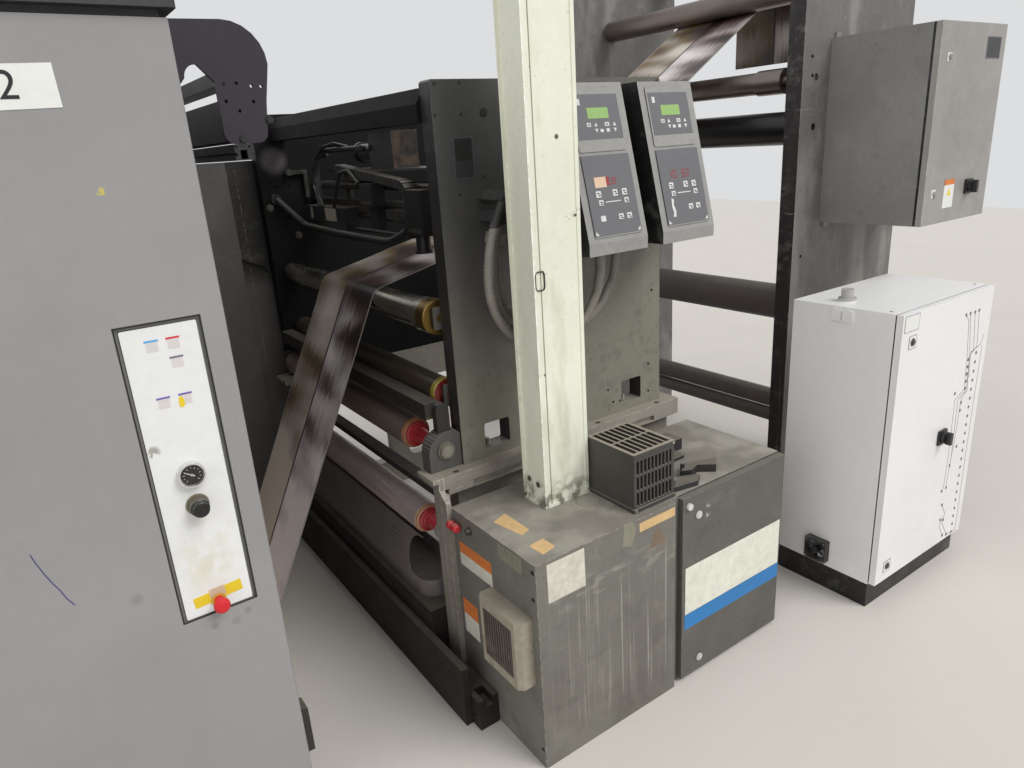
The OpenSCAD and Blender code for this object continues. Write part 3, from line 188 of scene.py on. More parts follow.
# %% The finish class
class Finish:
    """A material under construction, with the place and facing of the point that is shaded."""

    def __init__(self, name):
        self.material = bpy.data.materials.new(name)
        self.material.use_nodes = True
        self.tree = self.material.node_tree
        self.shader = self.tree.nodes["Principled BSDF"]
        self.place = self.add("TexCoord", out="Object")
        self.facing = self.add("TexCoord", out="Normal")

    def add(self, kind, settings=None, out=0, **values):
        return put(self.tree, "ShaderNode" + kind, settings, out, **values)

    def along(self, axis):
        return self.add("SeparateXYZ", out=axis.upper(), Vector=self.place)

    def faces(self, axis):
        return self.add("SeparateXYZ", out=axis.upper(), Vector=self.facing)

    def noise(self, scale, detail=3.0, seed=0.0, rough=0.55):
        """Clouds of values round one half; three scales stretch them along the axes."""
        stretch = scale if isinstance(scale, tuple) else (scale,) * 3
        wide = self.add("VectorMath", {"operation": "MULTIPLY"}, i0=self.place, i1=stretch)
        moved = self.add("VectorMath", {"operation": "ADD"}, i0=wide, i1=(seed, seed * 1.7, seed * 0.6))
        return self.add("TexNoise", Vector=moved, Scale=1.0, Detail=detail, Roughness=rough)

    def rise(self, value, low, high):
        """0 below low, 1 above high, a soft step between."""
        return self.add("MapRange", {"interpolation_type": "SMOOTHSTEP"}, i0=value, i1=low, i2=high)

    def band(self, axis, low, high, soft=1.0):
        """1 between two drawn coordinates, with edges soft millimetres wide."""
        value, edge = self.along(axis), soft * 0.001
        return (self.rise(value, level(axis, low) - edge, level(axis, low) + edge)
                * (1.0 - self.rise(value, level(axis, high) - edge, level(axis, high) + edge)))

    def spot(self, x, z, radius, plane="xz"):
        """A soft round spot on a face, by its drawn centre."""
        u = self.along(plane[0]) - level(plane[0], x)
        v = self.along(plane[1]) - level(plane[1], z)
        far = (u * u + v * v).root()
        return 1.0 - self.rise(far, radius * 0.0004, radius * 0.001)

    def mix(self, factor, first, second):
        return self.add("Mix", {"data_type": "RGBA"}, 2, i0=factor, i6=first, i7=second)

    def ramp(self, factor, *stops):
        return self.add("ValToRGB", {"stops": stops}, Fac=factor)

    def bump(self, height, strength=0.3, distance=0.001):
        return self.add("Bump", out="Normal", Height=height, Strength=strength, Distance=distance)

    def set(self, **values):
        for name, value in values.items():
            join(self.tree, self.shader.inputs[name.replace("_", " ")], value)
        return self.material


def cloudy(f, base, clouds, grain, seed):
    """A base colour that clouds over and is finely grained."""
    tone = 0.5 + (f.noise(1.9, 4, seed) - 0.5) * clouds + (f.noise(46, 3, seed) - 0.5) * grain
    return f.mix(tone.clamp(), shade(base, 0.62), shade(base, 1.38))


print("a finish can", ", ".join(name for name in vars(Finish) if name[0] != "_"))

# %% [markdown]
# ## Three kinds of skin
#
# Nearly everything here is one of three things: machine enamel, bare turned metal, or a small
# moulded or printed part. Each kind is a function that lays its ingredients one over the other, and
# a colour list is all that differs from part to part.

# %% Machine enamel
DUST, GREASE = tint(150, 142, 128), tint(62, 55, 46)


def enamel(name, base, clouds=0.8, grain=0.35, rough=0.46, gleam=0.5, dust=0.3, runs=0.0, scuffs=0.0,
           chips=0.0, grime=0.0, smudges=0.35, edges=(), paint=(), seed=1.0):
    """Machine paint with dust, runs, scuffs, chips and worn edges; paint lays more colours on top."""
    f, own = Finish(name), tint(*base)
    f.set(Specular_IOR_Level=gleam)
    colour = cloudy(f, own, clouds, grain, seed)
    for mask, over in paint:
        colour = f.mix(mask(f), colour, cloudy(f, tint(*over), clouds, grain, seed + 3))
    patches = f.rise(f.noise(5.5, 4, seed + 5), 0.42, 0.62)
    if smudges:
        blot = f.noise(11, 6, seed + 11, 0.68)
        colour = f.mix(f.rise(blot, 0.52, 0.70) * smudges, colour, shade(own, 0.62))
        colour = f.mix((1.0 - f.rise(blot, 0.30, 0.46)) * smudges, colour, shade(own, 1.5))
    if runs:
        streak = f.rise(f.noise((64, 64, 1.1), 2, seed + 1), 0.60, 0.74) * patches
        colour = f.mix(streak * runs, colour, shade(own, 2.2))
    if scuffs:
        scratch = f.rise(f.noise((7, 7, 90), 3, seed + 2), 0.63, 0.72) * patches
        colour = f.mix(scratch * scuffs, colour, shade(own, 2.4))
    if chips:
        chip = f.rise(f.noise(75, 2, seed + 7), 0.66, 0.71) * patches
        colour = f.mix(chip * chips, colour, shade(own, 0.35))
    for axis, mm, wide in edges:
        near = 1.0 - f.rise((f.along(axis) - level(axis, mm)).size(), 0.0, wide * 0.001)
        across = 1.0 - f.rise(f.faces(axis).size(), 0.3, 0.6)
        worn = near * across * f.rise(f.noise(60, 3, seed + 9), 0.44, 0.60)
        colour = f.mix(worn * 0.75, colour, shade(own, 2.1))
    if grime:
        low = (1.0 - f.rise(f.along("z"), 0.0, 0.55)) * f.rise(f.noise(7, 4, seed + 4), 0.3, 0.7)
        colour = f.mix(low * grime, colour, GREASE)
    up = f.rise(f.faces("z"), 0.6, 0.9) * (0.35 + f.noise(14, 4, seed + 6))
    colour = f.mix((up * dust).clamp(), colour, DUST)
    gloss = rough + (f.noise(9, 3, seed + 8) - 0.5) * 0.22
    return f.set(Base_Color=colour, Roughness=gloss, Normal=f.bump(f.noise(420, 2, seed), 0.12, 0.0004))


print("enamel ready, dust is", [round(v, 2) for v in DUST])


# %% Bare metal and small parts
def bare_metal(name, base, rough=0.3, lines="y", seed=1.0, stain=0.3, rings=()):
    """Turned or ground metal with fine lines round it, and coloured rings where a roller has them."""
    f, own = Finish(name), tint(*base)
    line = f.noise(tuple(260 if axis == lines else 1.2 for axis in "xyz"), 3, seed)
    colour = f.mix(line, shade(own, 0.66), shade(own, 1.3))
    blot = f.rise(f.noise((9, 3, 9), 4, seed + 2), 0.45, 0.7)
    colour = f.mix(blot * stain, colour, shade(own, 0.30))
    metal = 1.0 - blot * stain * 0.7
    gloss = rough + (line - 0.5) * 0.25 + blot * stain * 0.25
    for low, high, ring, metallic, ring_rough in rings:
        mask = f.band("y", low, high, 0.6)
        colour = f.mix(mask, colour, cloudy(f, tint(*ring), 0.9, 0.5, seed))
        metal = metal * (1.0 - mask) + mask * metallic
        gloss = gloss * (1.0 - mask) + mask * ring_rough
    return f.set(Base_Color=colour, Metallic=metal, Roughness=gloss)


def plain(name, base, rough=0.5, metallic=0.0, clouds=0.3, grain=0.2, seed=1.0, glow=None, strength=0.0):
    """A small part's finish: moulded plastic, a label, a plated bolt or a lit display."""
    f = Finish(name)
    colour = cloudy(f, tint(*base), clouds, grain, seed)
    if glow:
        f.set(Emission_Color=tint(*glow), Emission_Strength=strength)
    return f.set(Base_Color=colour, Roughness=rough + (f.noise(30, 2, seed) - 0.5) * 0.1, Metallic=metallic)


print("kinds of skin:", [kind.__name__ for kind in (enamel, bare_metal, plain)])

# %% [markdown]
# ## The press in its paint
#
# The printing unit wears smooth grey sheet covers; the plates behind them are the same paint after
# years of ink mist and oily hands, so they are darker and rougher. Parts that carry two paints, such
# as the consoles with grey fronts on black bodies, are one solid, and a mask read from the place or
# the facing lays the second paint on.

# %% Paints of the printing unit
def finger_marks(f):
    """Dark touches on the cover beside and below the panel, by their x, z and radius."""
    marks = [f.spot(*mark) for mark in ((56, 839, 16), (190, 708, 11), (237, 701, 14), (266, 715, 12))]
    return (marks[0] + marks[1] + marks[2] + marks[3]) * 0.32


housing_grey = enamel(
    "housing_grey", (143, 141, 140), clouds=0.45, grain=0.10, rough=0.42, dust=0.1, smudges=0.05, seed=2,
    edges=(("x", 340, 5),), paint=(
        (finger_marks, (96, 92, 88)),
        (lambda f: f.spot(166, 1663, 11) * f.rise(f.noise(90, 2), 0.42, 0.5), (190, 178, 84)),
        (lambda f: f.rise(f.noise((3, 3, 0.8), 4, 21), 0.55, 0.75) * 0.35, (122, 119, 117))))
cover_dark = enamel("cover_dark", (54, 52, 55), rough=0.5, dust=0.35, seed=3)
drive_grey = enamel(
    "drive_grey", (86, 83, 81), clouds=0.7, rough=0.48, gleam=0.35, dust=0.3, grime=0.5, scuffs=0.2, seed=4,
    edges=(("x", 825, 5), ("x", 862, 3)),
    paint=((lambda f: f.band("x", 827, 990, 1) * f.band("z", 1200, 1800, 60), (42, 40, 38)),))
frame_dark = enamel("frame_dark", (52, 49, 48), rough=0.55, dust=0.4, grime=0.5, seed=5)
arm_purple = enamel("arm_purple", (53, 48, 55), clouds=0.6, rough=0.42, gleam=0.3, dust=0.1, smudges=0.1, seed=6)
beam_black = enamel("beam_black", (40, 38, 39), rough=0.5, dust=0.5, scuffs=0.3, seed=7)
top_beam = enamel("top_beam", (17, 16, 17), rough=0.65, gleam=0.15, dust=0.12, scuffs=0.5, chips=0.4, seed=8)
print("materials so far", len(bpy.data.materials))

# %% [markdown]
# ## Control panel
#
# The panel is a white coated sheet let into the cover, with a grey step round it. Hands have left
# a yellowish shadow under the regulator and a smear at its left edge, which are soft spots here.

# %% Panel finish
SHEET_Y, COLLAR_Y, KNOB_Y = -265, -267.5, -293.5
DIAL_X, DIAL_Z = 210.5, 1081.0


def panel_stains(f):
    rubbed = f.spot(212, 900, 95) * 0.55 + f.spot(205, 820, 70) * 0.4
    return (rubbed * f.rise(f.noise(24, 4, 3), 0.40, 0.62)).clamp() * 0.8


def before(mm):
    """A mask: 1 on what stands nearer to the operator than y = mm."""
    return lambda f: f.along("y") < level("y", mm)


panel_white = enamel(
    "panel_white", (120, 118, 116), clouds=0.3, grain=0.15, rough=0.4, dust=0.3, smudges=0, seed=9, paint=(
        (before(SHEET_Y), (224, 223, 220)),
        (lambda f: panel_stains(f) * before(SHEET_Y)(f), (206, 200, 176)),
        (lambda f: f.spot(150, 1146, 18) * f.rise(f.noise(70, 3, 4), 0.45, 0.55) * 0.8, (140, 134, 122)),
        (lambda f: before(COLLAR_Y)(f) * (f.spot(DIAL_X, 1008, 60) > 0.5), (118, 110, 92)),
        (lambda f: before(COLLAR_Y)(f) * (f.spot(DIAL_X, 768, 40) > 0.5), (196, 150, 60))))
gauge_metal = bare_metal("gauge_metal", (244, 242, 238), rough=0.22, stain=0.12, seed=2)
regulator_paint = enamel("regulator_paint", (80, 73, 62), rough=0.4, dust=0.2, chips=0.5, seed=10,
                         paint=((before(KNOB_Y), (22, 21, 21)),))
button_red = plain("button_red", (206, 28, 40), rough=0.28, seed=3)
print("panel finishes ready, dial at", (DIAL_X, DIAL_Z))

# %% [markdown]
# ## Stand, tower and base
#
# The stand's plates were planed and painted; oil has run down them from the roller bearings and
# the lower part has gone pale and greenish where cleaning rags reach. Edges that take knocks show
# bright, speckled metal.

# %% Paints of the stand
def wiped(f):
    """Paler towards the foot of the plate and towards its far side."""
    low = 1.0 - f.rise(f.along("z"), 0.72, 1.55)
    far = f.rise(f.along("x"), level("x", 1150), level("x", 1700)) * 0.5
    return ((low + far) * (0.55 + f.noise(2.6, 4, 12))).clamp() * 0.8


plate_grey = enamel(
    "plate_grey", (66, 65, 64), clouds=1.1, grain=0.3, rough=0.42, dust=0.3, runs=0.10, scuffs=0.12,
    chips=0.5, grime=0.2, seed=11, edges=(("x", 1020, 4), ("x", 1885, 4), ("z", 1873, 5)),
    paint=((wiped, (134, 131, 116)), (lambda f: f.rise(f.faces("x").size(), 0.5, 0.8), (44, 42, 41))))
# The drive-side stand plate is the same kind of plate as the operator's, painted far darker for the shade between
# the plates; it also has runs, chips, a worn edge and one pale spot.
drive_plate_shade_and_wear = enamel(
    "drive_plate_shade_and_wear", (20, 19, 19), clouds=1.2, rough=0.5, gleam=0.15, dust=0.3, runs=0.2, chips=0.4, seed=12,
    edges=(("x", 940, 5),), paint=((lambda f: f.spot(1010, 1690, 70) * 0.5, (120, 112, 116)),))
base_grey = enamel(
    "base_grey", (142, 136, 126), clouds=1.2, grain=0.5, rough=0.5, dust=0.8, scuffs=0.35, chips=0.7,
    grime=0.4, seed=13, edges=(("y", -42, 4), ("z", 751, 4), ("x", 905, 3), ("x", 921, 3)))
base_dark = enamel("base_dark", (32, 28, 28), clouds=1.3, grain=0.5, rough=0.6, gleam=0.25, dust=0.3,
                   scuffs=0.3, grime=0.4, seed=14)
guard_dark = enamel("guard_dark", (116, 108, 108), clouds=1.2, grain=0.4, rough=0.42, dust=0.25, runs=0.35,
                    scuffs=0.2, seed=15)
boss_grey = enamel(
    "boss_grey", (84, 82, 78), clouds=1.2, grain=0.6, rough=0.5, dust=0.35, chips=0.7, seed=16,
    paint=((lambda f: f.band("x", 880, 922, 1) * f.band("z", 600, 640, 1), (186, 40, 46)),
           (lambda f: f.spot(966, 815, 40) * (f.along("y") < level("y", 4)), (126, 120, 106)),
           # Behind y = 59, inside the stand, the brackets are painted dark: painted shade.
           (lambda f: f.along("y") > level("y", 59), (44, 41, 40))))
arm_dark = enamel("arm_dark", (44, 41, 39), clouds=1.1, rough=0.55, dust=0.25, chips=0.4, seed=17)
print("stand paints ready")

# %% [markdown]
# ## The tower's paint
#
# The tower's plates face the operator with a rubbed, cloudy grey, and their side faces are painted dark. The
# facing tells the two apart, so no edge has to be picked by hand.

# %% Paints of the tower
def cut_edge(f):
    return 1.0 - f.rise(f.faces("y").size(), 0.5, 0.8)


def rubbed_pale(f):
    return f.rise(f.noise((6, 6, 1.6), 4, 52), 0.50, 0.66) * 0.5 * (f.faces("y") < -0.5)


tower_grey = enamel(
    "tower_grey", (108, 105, 102), clouds=0.9, grain=0.3, rough=0.48, gleam=0.35, dust=0.2, runs=0.35, scuffs=0.4,
    chips=0.4, grime=0.3, smudges=0.45, seed=18, edges=(("x", 2661, 6),),
    paint=((cut_edge, (44, 41, 40)), (rubbed_pale, (158, 154, 150))))
tie_brown = enamel("tie_brown", (84, 75, 71), clouds=1.2, rough=0.5, dust=0.45, scuffs=0.3, seed=19)
print("tower paints ready")

# %% [markdown]
# ## Rollers
#
# Each roller has its own skin: hard chrome with a brass ring, dark rubber with a yellow-green end
# ring, and two inked rollers with red hubs and a copper rim. They are turned parts, so fine lines
# run round them, and the coloured ends are bands along the roller's own axis.

# %% Roller finishes
roller_steel = bare_metal("roller_steel", (132, 122, 117), rough=0.36, stain=0.5, seed=4)
roller_chrome = bare_metal(
    "roller_chrome", (166, 159, 146), rough=0.16, stain=0.5, seed=5,
    rings=((40, 124, (128, 104, 56), 0.9, 0.32), (92, 96, (60, 48, 26), 0.5, 0.5)))
slide_steel = bare_metal("slide_steel", (118, 114, 108), rough=0.3, stain=0.7, seed=6)


def inked(name, base, seed, bands):
    """Inked rubber, with painted bands between drawn y places."""
    f, own = Finish(name), tint(*base)
    colour = cloudy(f, own, 1.2, 0.5, seed)
    # Lighter streaks along the roller's length: ink smears and painted highlights.
    smear = f.rise(f.noise((30, 1.6, 30), 4, seed), 0.50, 0.68)
    colour = f.mix(smear * 0.6, colour, shade(own, 1.7))
    ring = f.rise(f.noise((2, 120, 2), 2, seed + 1), 0.56, 0.62)
    colour = f.mix(ring * 0.35, colour, shade(own, 0.5))
    for low, high, over in bands:
        colour = f.mix(f.band("y", low, high, 0.7), colour, cloudy(f, tint(*over), 0.9, 0.6, seed))
    return f.set(Base_Color=colour, Roughness=0.42 + (smear - 0.5) * 0.2, Coat_Weight=0.15, Coat_Roughness=0.35)


rubber_dark = inked("rubber_dark", (70, 60, 50), 5, ((40, 83.5, (120, 32, 30)), (83.5, 108, (158, 142, 56))))
inked_upper = inked("inked_upper", (122, 106, 98), 6, ((40, 198.5, (176, 42, 50)), (198.5, 208, (168, 112, 74))))
inked_lower = inked("inked_lower", (176, 160, 156), 7, ((0, 104.5, (164, 44, 52)), (104.5, 114, (186, 138, 104))))
roller_black = inked("roller_black", (9, 8, 9), 8, ())
print("roller finishes ready")

# %% [markdown]
# ## The printed web
#
# The paper runs fast, so what is printed on it smears into soft blocks along the way it moves: two
# ribbons side by side, brown, black and grey. The blocks come from noise that is finer across the
# web than along it, sent through a ramp of ink tones; the second ribbon reads it from elsewhere.

# %% Ink tones
# The palest stops are reached mostly where the lower web is painted paler for light.
BROWN_INKS = ((0.32, (34, 22, 22)), (0.44, (74, 54, 48)), (0.56, (122, 108, 104)), (0.72, (184, 174, 174)),
              (1.0, (236, 226, 222)))
OLIVE_INKS = ((0.32, (56, 46, 42)), (0.44, (84, 72, 66)), (0.54, (112, 92, 56)), (0.70, (150, 138, 128)),
              (1.0, (206, 194, 180)))
RIBBON_SPLIT, MARGIN_EDGE = 672.5, 446.5
print("ink tones", len(BROWN_INKS), "and", len(OLIVE_INKS))


# %% Web finish
def web_paper(name):
    f = Finish(name)
    second = f.along("y") > level("y", RIBBON_SPLIT)
    drag = f.noise((1.2, 60, 1.2), 3, 4)
    fine = f.noise((1.6, 260, 1.6), 3, 9)
    run = f.along("z") + f.along("x") * 0.9 + (drag - 0.5) * 0.10
    print_place = f.add("CombineXYZ", X=run * 5.6, Y=f.along("y") * 3.2, Z=second * 5.3 + 2.0)
    blocks = f.add("TexNoise", Vector=print_place, Scale=1.0, Detail=1.5, Roughness=0.4)
    # The web is painted paler towards its foot, below 0.3 to 1.15 m, for light; higher up, before x = 1010 to 1250
    # mm, it is painted a little darker for shade. The second ribbon is a little paler as well.
    low = 1.0 - f.rise(f.along("z"), 0.30, 1.15)
    flat = f.rise(f.along("x"), level("x", 1010), level("x", 1250))
    painted_light_and_ribbon_tone = low * 0.58 + second * 0.12 - (1.0 - low) * (1.0 - flat) * 0.06
    tone = ((blocks - 0.5) * 1.7 + 0.55 + (fine - 0.5) * 0.30 + painted_light_and_ribbon_tone).clamp()
    brown, olive = (f.ramp(tone, *((stop, tint(*ink)) for stop, ink in inks)) for inks in (BROWN_INKS, OLIVE_INKS))
    colour = f.mix(f.rise(fine, 0.60, 0.76) * 0.25, f.mix(second, brown, olive), tint(168, 158, 150))
    colour = f.mix(f.band("y", RIBBON_SPLIT - 5, RIBBON_SPLIT + 5, 3), colour, tint(22, 17, 17))
    margin = 1.0 - f.band("y", MARGIN_EDGE, 900, 1.5)
    colour = f.mix(margin * 0.8, colour, tint(170, 160, 150))
    return f.set(Base_Color=colour, Roughness=0.40 + (drag - 0.5) * 0.2, Coat_Weight=0.2, Coat_Roughness=0.25)


printed_web = web_paper("printed_web")
print("web finish ready")

# %% [markdown]
# ## Floor cabinet
#
# The floor cabinet is the most used thing here: cleaning fluid has run down its front and dried in
# pale streaks, and its top is grey with dust. Streaks are noise that is stretched along z and kept
# to one height of one face by soft bands.

# %% Paints of the floor cabinet
def front_runs(f):
    """Pale dried streaks on the lower part of the cabinet's left front."""
    on_front = (f.along("y") < level("y", -495)) * f.band("x", 965, 1455, 30)
    streak = f.rise(f.noise((95, 20, 1.4), 2, 31), 0.54, 0.66) * f.band("z", 90, 520, 70)
    smear = f.rise(f.noise((14, 14, 40), 4, 8), 0.5, 0.7) * f.band("z", 490, 560, 25)
    return (on_front * (streak * 0.7 + smear * 0.6)).clamp()


def top_dust(f):
    return f.rise(f.faces("z"), 0.6, 0.9) * f.rise(f.noise((5, 5, 5), 5, 41), 0.42, 0.60) * 0.8


cabinet_grey = enamel(
    "cabinet_grey", (110, 107, 100), clouds=0.9, grain=0.3, rough=0.5, dust=0.35, scuffs=0.25, chips=0.5,
    grime=0.35, smudges=0.5, seed=20, edges=(("x", 921, 4), ("z", 666, 5), ("y", -497, 5)),
    paint=((front_runs, (164, 160, 152)), (lambda f: f.rise(f.noise(3, 4, 40), 0.55, 0.7) * 0.4, (86, 86, 76)),
           (top_dust, (160, 156, 145))))
door_grey = enamel(
    "door_grey", (88, 85, 80), clouds=0.7, grain=0.25, rough=0.48, dust=0.3, scuffs=0.2, grime=0.3,
    smudges=0.4, seed=22, edges=(("x", 1472, 3), ("z", 662, 3)),
    paint=((before(-498.2), (206, 204, 198)),
           (lambda f: f.band("x", 1576, 1592, 4) * f.band("z", 560, 612, 14) * f.rise(f.noise(60, 3), 0.46, 0.56),
            (176, 172, 164))))
filter_grey = enamel(
    "filter_grey", (150, 142, 126), clouds=1.0, grain=0.7, rough=0.6, dust=0.4, chips=0.6, smudges=0.6, seed=23,
    paint=((lambda f: f.band("y", -439, -301, 1) * f.band("z", 304, 461, 1), (92, 82, 76)),))
# Its upward faces are painted almost wholly pale: dust, and a painted highlight of its lit top.
vent_black = enamel("vent_black", (62, 60, 56), clouds=0.9, grain=0.5, rough=0.5, dust=2.6, scuffs=0.3, seed=25)
print("floor cabinet paints ready")

# %% [markdown]
# ## Cable riser
#
# The riser is a square duct in old cream enamel, gone olive in soft patches, sooty at its foot
# where it is never wiped, with a few spots where the paint has burst.

# %% Paint of the riser
def foot_soot(f):
    return (1.0 - f.rise(f.along("z"), 0.67, 0.78)) * f.rise(f.noise(30, 4, 3), 0.4, 0.6)


def burst_spots(f):
    return (f.spot(1227, 1707, 9) + f.spot(1280, 1503, 6) + f.spot(1151, 1078, 5)).clamp()


def burst_halo(f):
    return (f.spot(1262, 1500, 24) * f.rise(f.noise(120, 2, 2), 0.54, 0.6) * 0.6).clamp()


riser_cream = enamel(
    "riser_cream", (228, 230, 206), clouds=0.4, grain=0.2, rough=0.5, dust=0.2, chips=0.35, smudges=0.06,
    grime=0.2, seed=24, edges=(("x", 1130, 3),),
    paint=((lambda f: f.rise(f.noise((9, 9, 2.2), 4, 14), 0.56, 0.72) * 0.55, (186, 184, 158)),
           (foot_soot, (120, 116, 100)), (burst_spots, (70, 66, 58)), (burst_halo, (150, 142, 116))))
print("riser paint ready")

# %% [markdown]
# ## White cabinet and wall cabinet
#
# The white cabinet is nearly new. Its plinth, its fan's housing and the pipe socket on its top
# belong to the same solid, so masks on the place give them their black and their bare metal.

# %% Paints of the two control cabinets
white_paint = enamel(
    "white_paint", (232, 226, 221), clouds=0.2, grain=0.10, rough=0.36, dust=0.08, grime=0.08, smudges=0.04,
    seed=26, paint=(
        (lambda f: f.along("z") < level("z", 95), (4, 4, 4)),
        (lambda f: (f.along("x") < level("x", 2279.6)) * (f.along("z") < level("z", 900)), (40, 39, 40)),
        (lambda f: f.along("z") > level("z", 1103), (168, 166, 160)),
        (before(-676.5), (70, 69, 69))))
wall_grey = enamel(
    "wall_grey", (126, 124, 121), clouds=0.9, grain=0.3, rough=0.42, dust=0.2, chips=0.5, smudges=0.3, seed=27,
    paint=((lambda f: f.band("y", -402, -389, 1) * f.band("z", 1303, 2006, 2), (18, 18, 18)),))
wall_front = enamel("wall_front", (144, 140, 135), clouds=0.8, grain=0.3, rough=0.4, dust=0.15, chips=0.3,
                    smudges=0.25, seed=28, edges=(("x", 2838, 4),))
print("control cabinet paints ready")

# %% [markdown]
# ## Consoles, conduits and cables
#
# The consoles have grey fronts on black bodies: a mask on the facing paints the sides. Conduits and
# hoses are dull plastic, and the camera motor's box is cast iron with a rusty end.

# %% Paints of consoles and cables
console_grey = enamel(
    "console_grey", (142, 140, 136), clouds=0.5, grain=0.45, rough=0.55, dust=0.25, chips=0.4, smudges=0.15,
    seed=29, paint=((lambda f: f.rise(f.faces("x").size(), 0.6, 0.9), (22, 21, 21)),
                    (lambda f: (f.faces("z") < -0.3) * f.band("y", -300, -150, 5), (152, 150, 146))))
conduit_grey = enamel(
    "conduit_grey", (128, 123, 114), clouds=0.6, rough=0.6, dust=0.3, grime=0.2, seed=30,
    paint=((lambda f: (f.along("z") > level("z", 1478)) * (f.along("x") < level("x", 1320)), (52, 51, 50)),))
cable_black = enamel("cable_black", (34, 32, 32), clouds=0.9, rough=0.5, dust=0.5, seed=32)
head_black = enamel(
    "head_black", (38, 36, 36), clouds=0.9, rough=0.42, dust=0.5, scuffs=0.2, seed=33,
    paint=((lambda f: f.band("y", 545, 547.5, 0.4) * f.rise(f.noise(26, 5, 6), 0.36, 0.66), (86, 71, 61)),))
black_plastic = plain("black_plastic", (28, 28, 29), rough=0.38, seed=5)
print("materials so far", len(bpy.data.materials))

# %% [markdown]
# ## Dressing the solids
#
# Each packed node takes its finish through its material slot. The mesh itself is never touched.

# %% Give every node its finish
DRESS = {
    housing_grey: ["unit_operator_housing"], cover_dark: ["unit_top_cover"], drive_grey: ["unit_drive_housing"],
    frame_dark: ["unit_frame_operator", "unit_frame_drive", "unit_bed", "unit_bridge"],
    roller_steel: ["upper_print_couple", "lower_print_couple", "unit_turn_roller", "unit_floor_roller",
                   "stand_bend_roller", "tower_roller_top", "tower_roller_middle", "tower_exit_roller"],
    panel_white: ["control_panel"], gauge_metal: ["pressure_gauge"], regulator_paint: ["regulator_knob"],
    button_red: ["stop_button"], arm_purple: ["scanner_arm_operator", "scanner_arm_drive"],
    beam_black: ["scanner_beams", "clamp_arms"], top_beam: ["stand_top_beam"],
    base_grey: ["stand_base_operator", "stand_base_drive"], base_dark: ["stand_base_beams", "stand_rear_tie"],
    plate_grey: ["stand_plate_operator"], drive_plate_shade_and_wear: ["stand_plate_drive"],
    guard_dark: ["slotted_guard", "drip_trough"], boss_grey: ["roller_brackets"], arm_dark: ["impression_arm"],
    roller_chrome: ["idler_roller"], rubber_dark: ["rubber_roller"], inked_upper: ["upper_transfer_roller"],
    inked_lower: ["lower_transfer_roller"], roller_black: ["tower_roller_lower"], slide_steel: ["camera_rail"],
    head_black: ["camera_heads"], cable_black: ["camera_cables"], printed_web: ["paper_web"],
    cabinet_grey: ["floor_cabinet_case"], door_grey: ["floor_cabinet_door"], filter_grey: ["side_filter_box"],
    riser_cream: ["cable_riser"], vent_black: ["ventilated_box"], console_grey: ["consoles"],
    conduit_grey: ["console_conduits"], tower_grey: ["tower_plate_operator", "tower_plate_drive"],
    tie_brown: ["tower_tie_tubes"], wall_grey: ["wall_cabinet_case"], wall_front: ["wall_cabinet_door"],
    black_plastic: ["wall_cabinet_switch", "white_cabinet_switch", "white_cabinet_fan"],
    white_paint: ["white_cabinet_case", "white_cabinet_door"],
}
dressed = 0
for finish, names in DRESS.items():
    for name in names:
        node = frame["nodes"][name]
        for holder in node.material_slots:
            holder.material = finish
        if not node.material_slots:
            node.data.materials.append(finish)
        dressed += 1
print("dressed", dressed, "of", len(frame["nodes"]))

# %% [markdown]
# ## Flat things on faces
#
# Labels, tapes, dials and keys are thin sheets. Each is drawn as an outline in the two coordinates
# of the face it lies on, and a small function per face knows where that is in space, also on the
# sloping front of a console.

# %% Faces
def front(mm):
    """The face y = mm, which looks at the operator: u is x, v is z."""
    return lambda u, v, out: at(u, mm - out, v)


def left(mm):
    """The face x = mm, which looks along the press: u is y, v is z."""
    return lambda u, v, out: at(mm - out, u, v)


def top(mm):
    """The face z = mm, which looks up: u is x, v is y."""
    return lambda u, v, out: at(u, v, mm + out)


SLOPE_LOW, SLOPE_HIGH = (-270.0, 1415.0), (-162.0, 1845.0)
SLOPE_RUN, SLOPE_RISE = SLOPE_HIGH[0] - SLOPE_LOW[0], SLOPE_HIGH[1] - SLOPE_LOW[1]
SLOPE_LENGTH = (SLOPE_RUN ** 2 + SLOPE_RISE ** 2) ** 0.5


def slope(x):
    """A console's front: u runs from its left side, v up the slope."""
    dy, dz = SLOPE_RUN / SLOPE_LENGTH, SLOPE_RISE / SLOPE_LENGTH
    return lambda u, v, out: at(x + u, SLOPE_LOW[0] + v * dy - out * dz, SLOPE_LOW[1] + v * dz + out * dy)


print("a console's front is", round(SLOPE_LENGTH), "mm long")


# %% Outlines
def turned(points, centre, degrees):
    """The same points, turned round a centre."""
    c, s = cos(radians(degrees)), sin(radians(degrees))
    return [(centre[0] + (u - centre[0]) * c - (v - centre[1]) * s,
             centre[1] + (u - centre[0]) * s + (v - centre[1]) * c) for u, v in points]


def rect(u0, v0, u1, v1, turn=0.0):
    return turned([(u0, v0), (u1, v0), (u1, v1), (u0, v1)], ((u0 + u1) / 2, (v0 + v1) / 2), turn)


def disc(u, v, r, sides=24):
    return [(u + r * cos(2 * pi * i / sides), v + r * sin(2 * pi * i / sides)) for i in range(sides)]


def ring(u, v, r0, r1, sides=32):
    """A flat ring as short four-sided pieces."""
    spokes = [(cos(2 * pi * i / sides), sin(2 * pi * i / sides)) for i in range(sides + 1)]
    return [[(u + a[0] * r0, v + a[1] * r0), (u + a[0] * r1, v + a[1] * r1),
             (u + b[0] * r1, v + b[1] * r1), (u + b[0] * r0, v + b[1] * r0)] for a, b in zip(spokes, spokes[1:])]


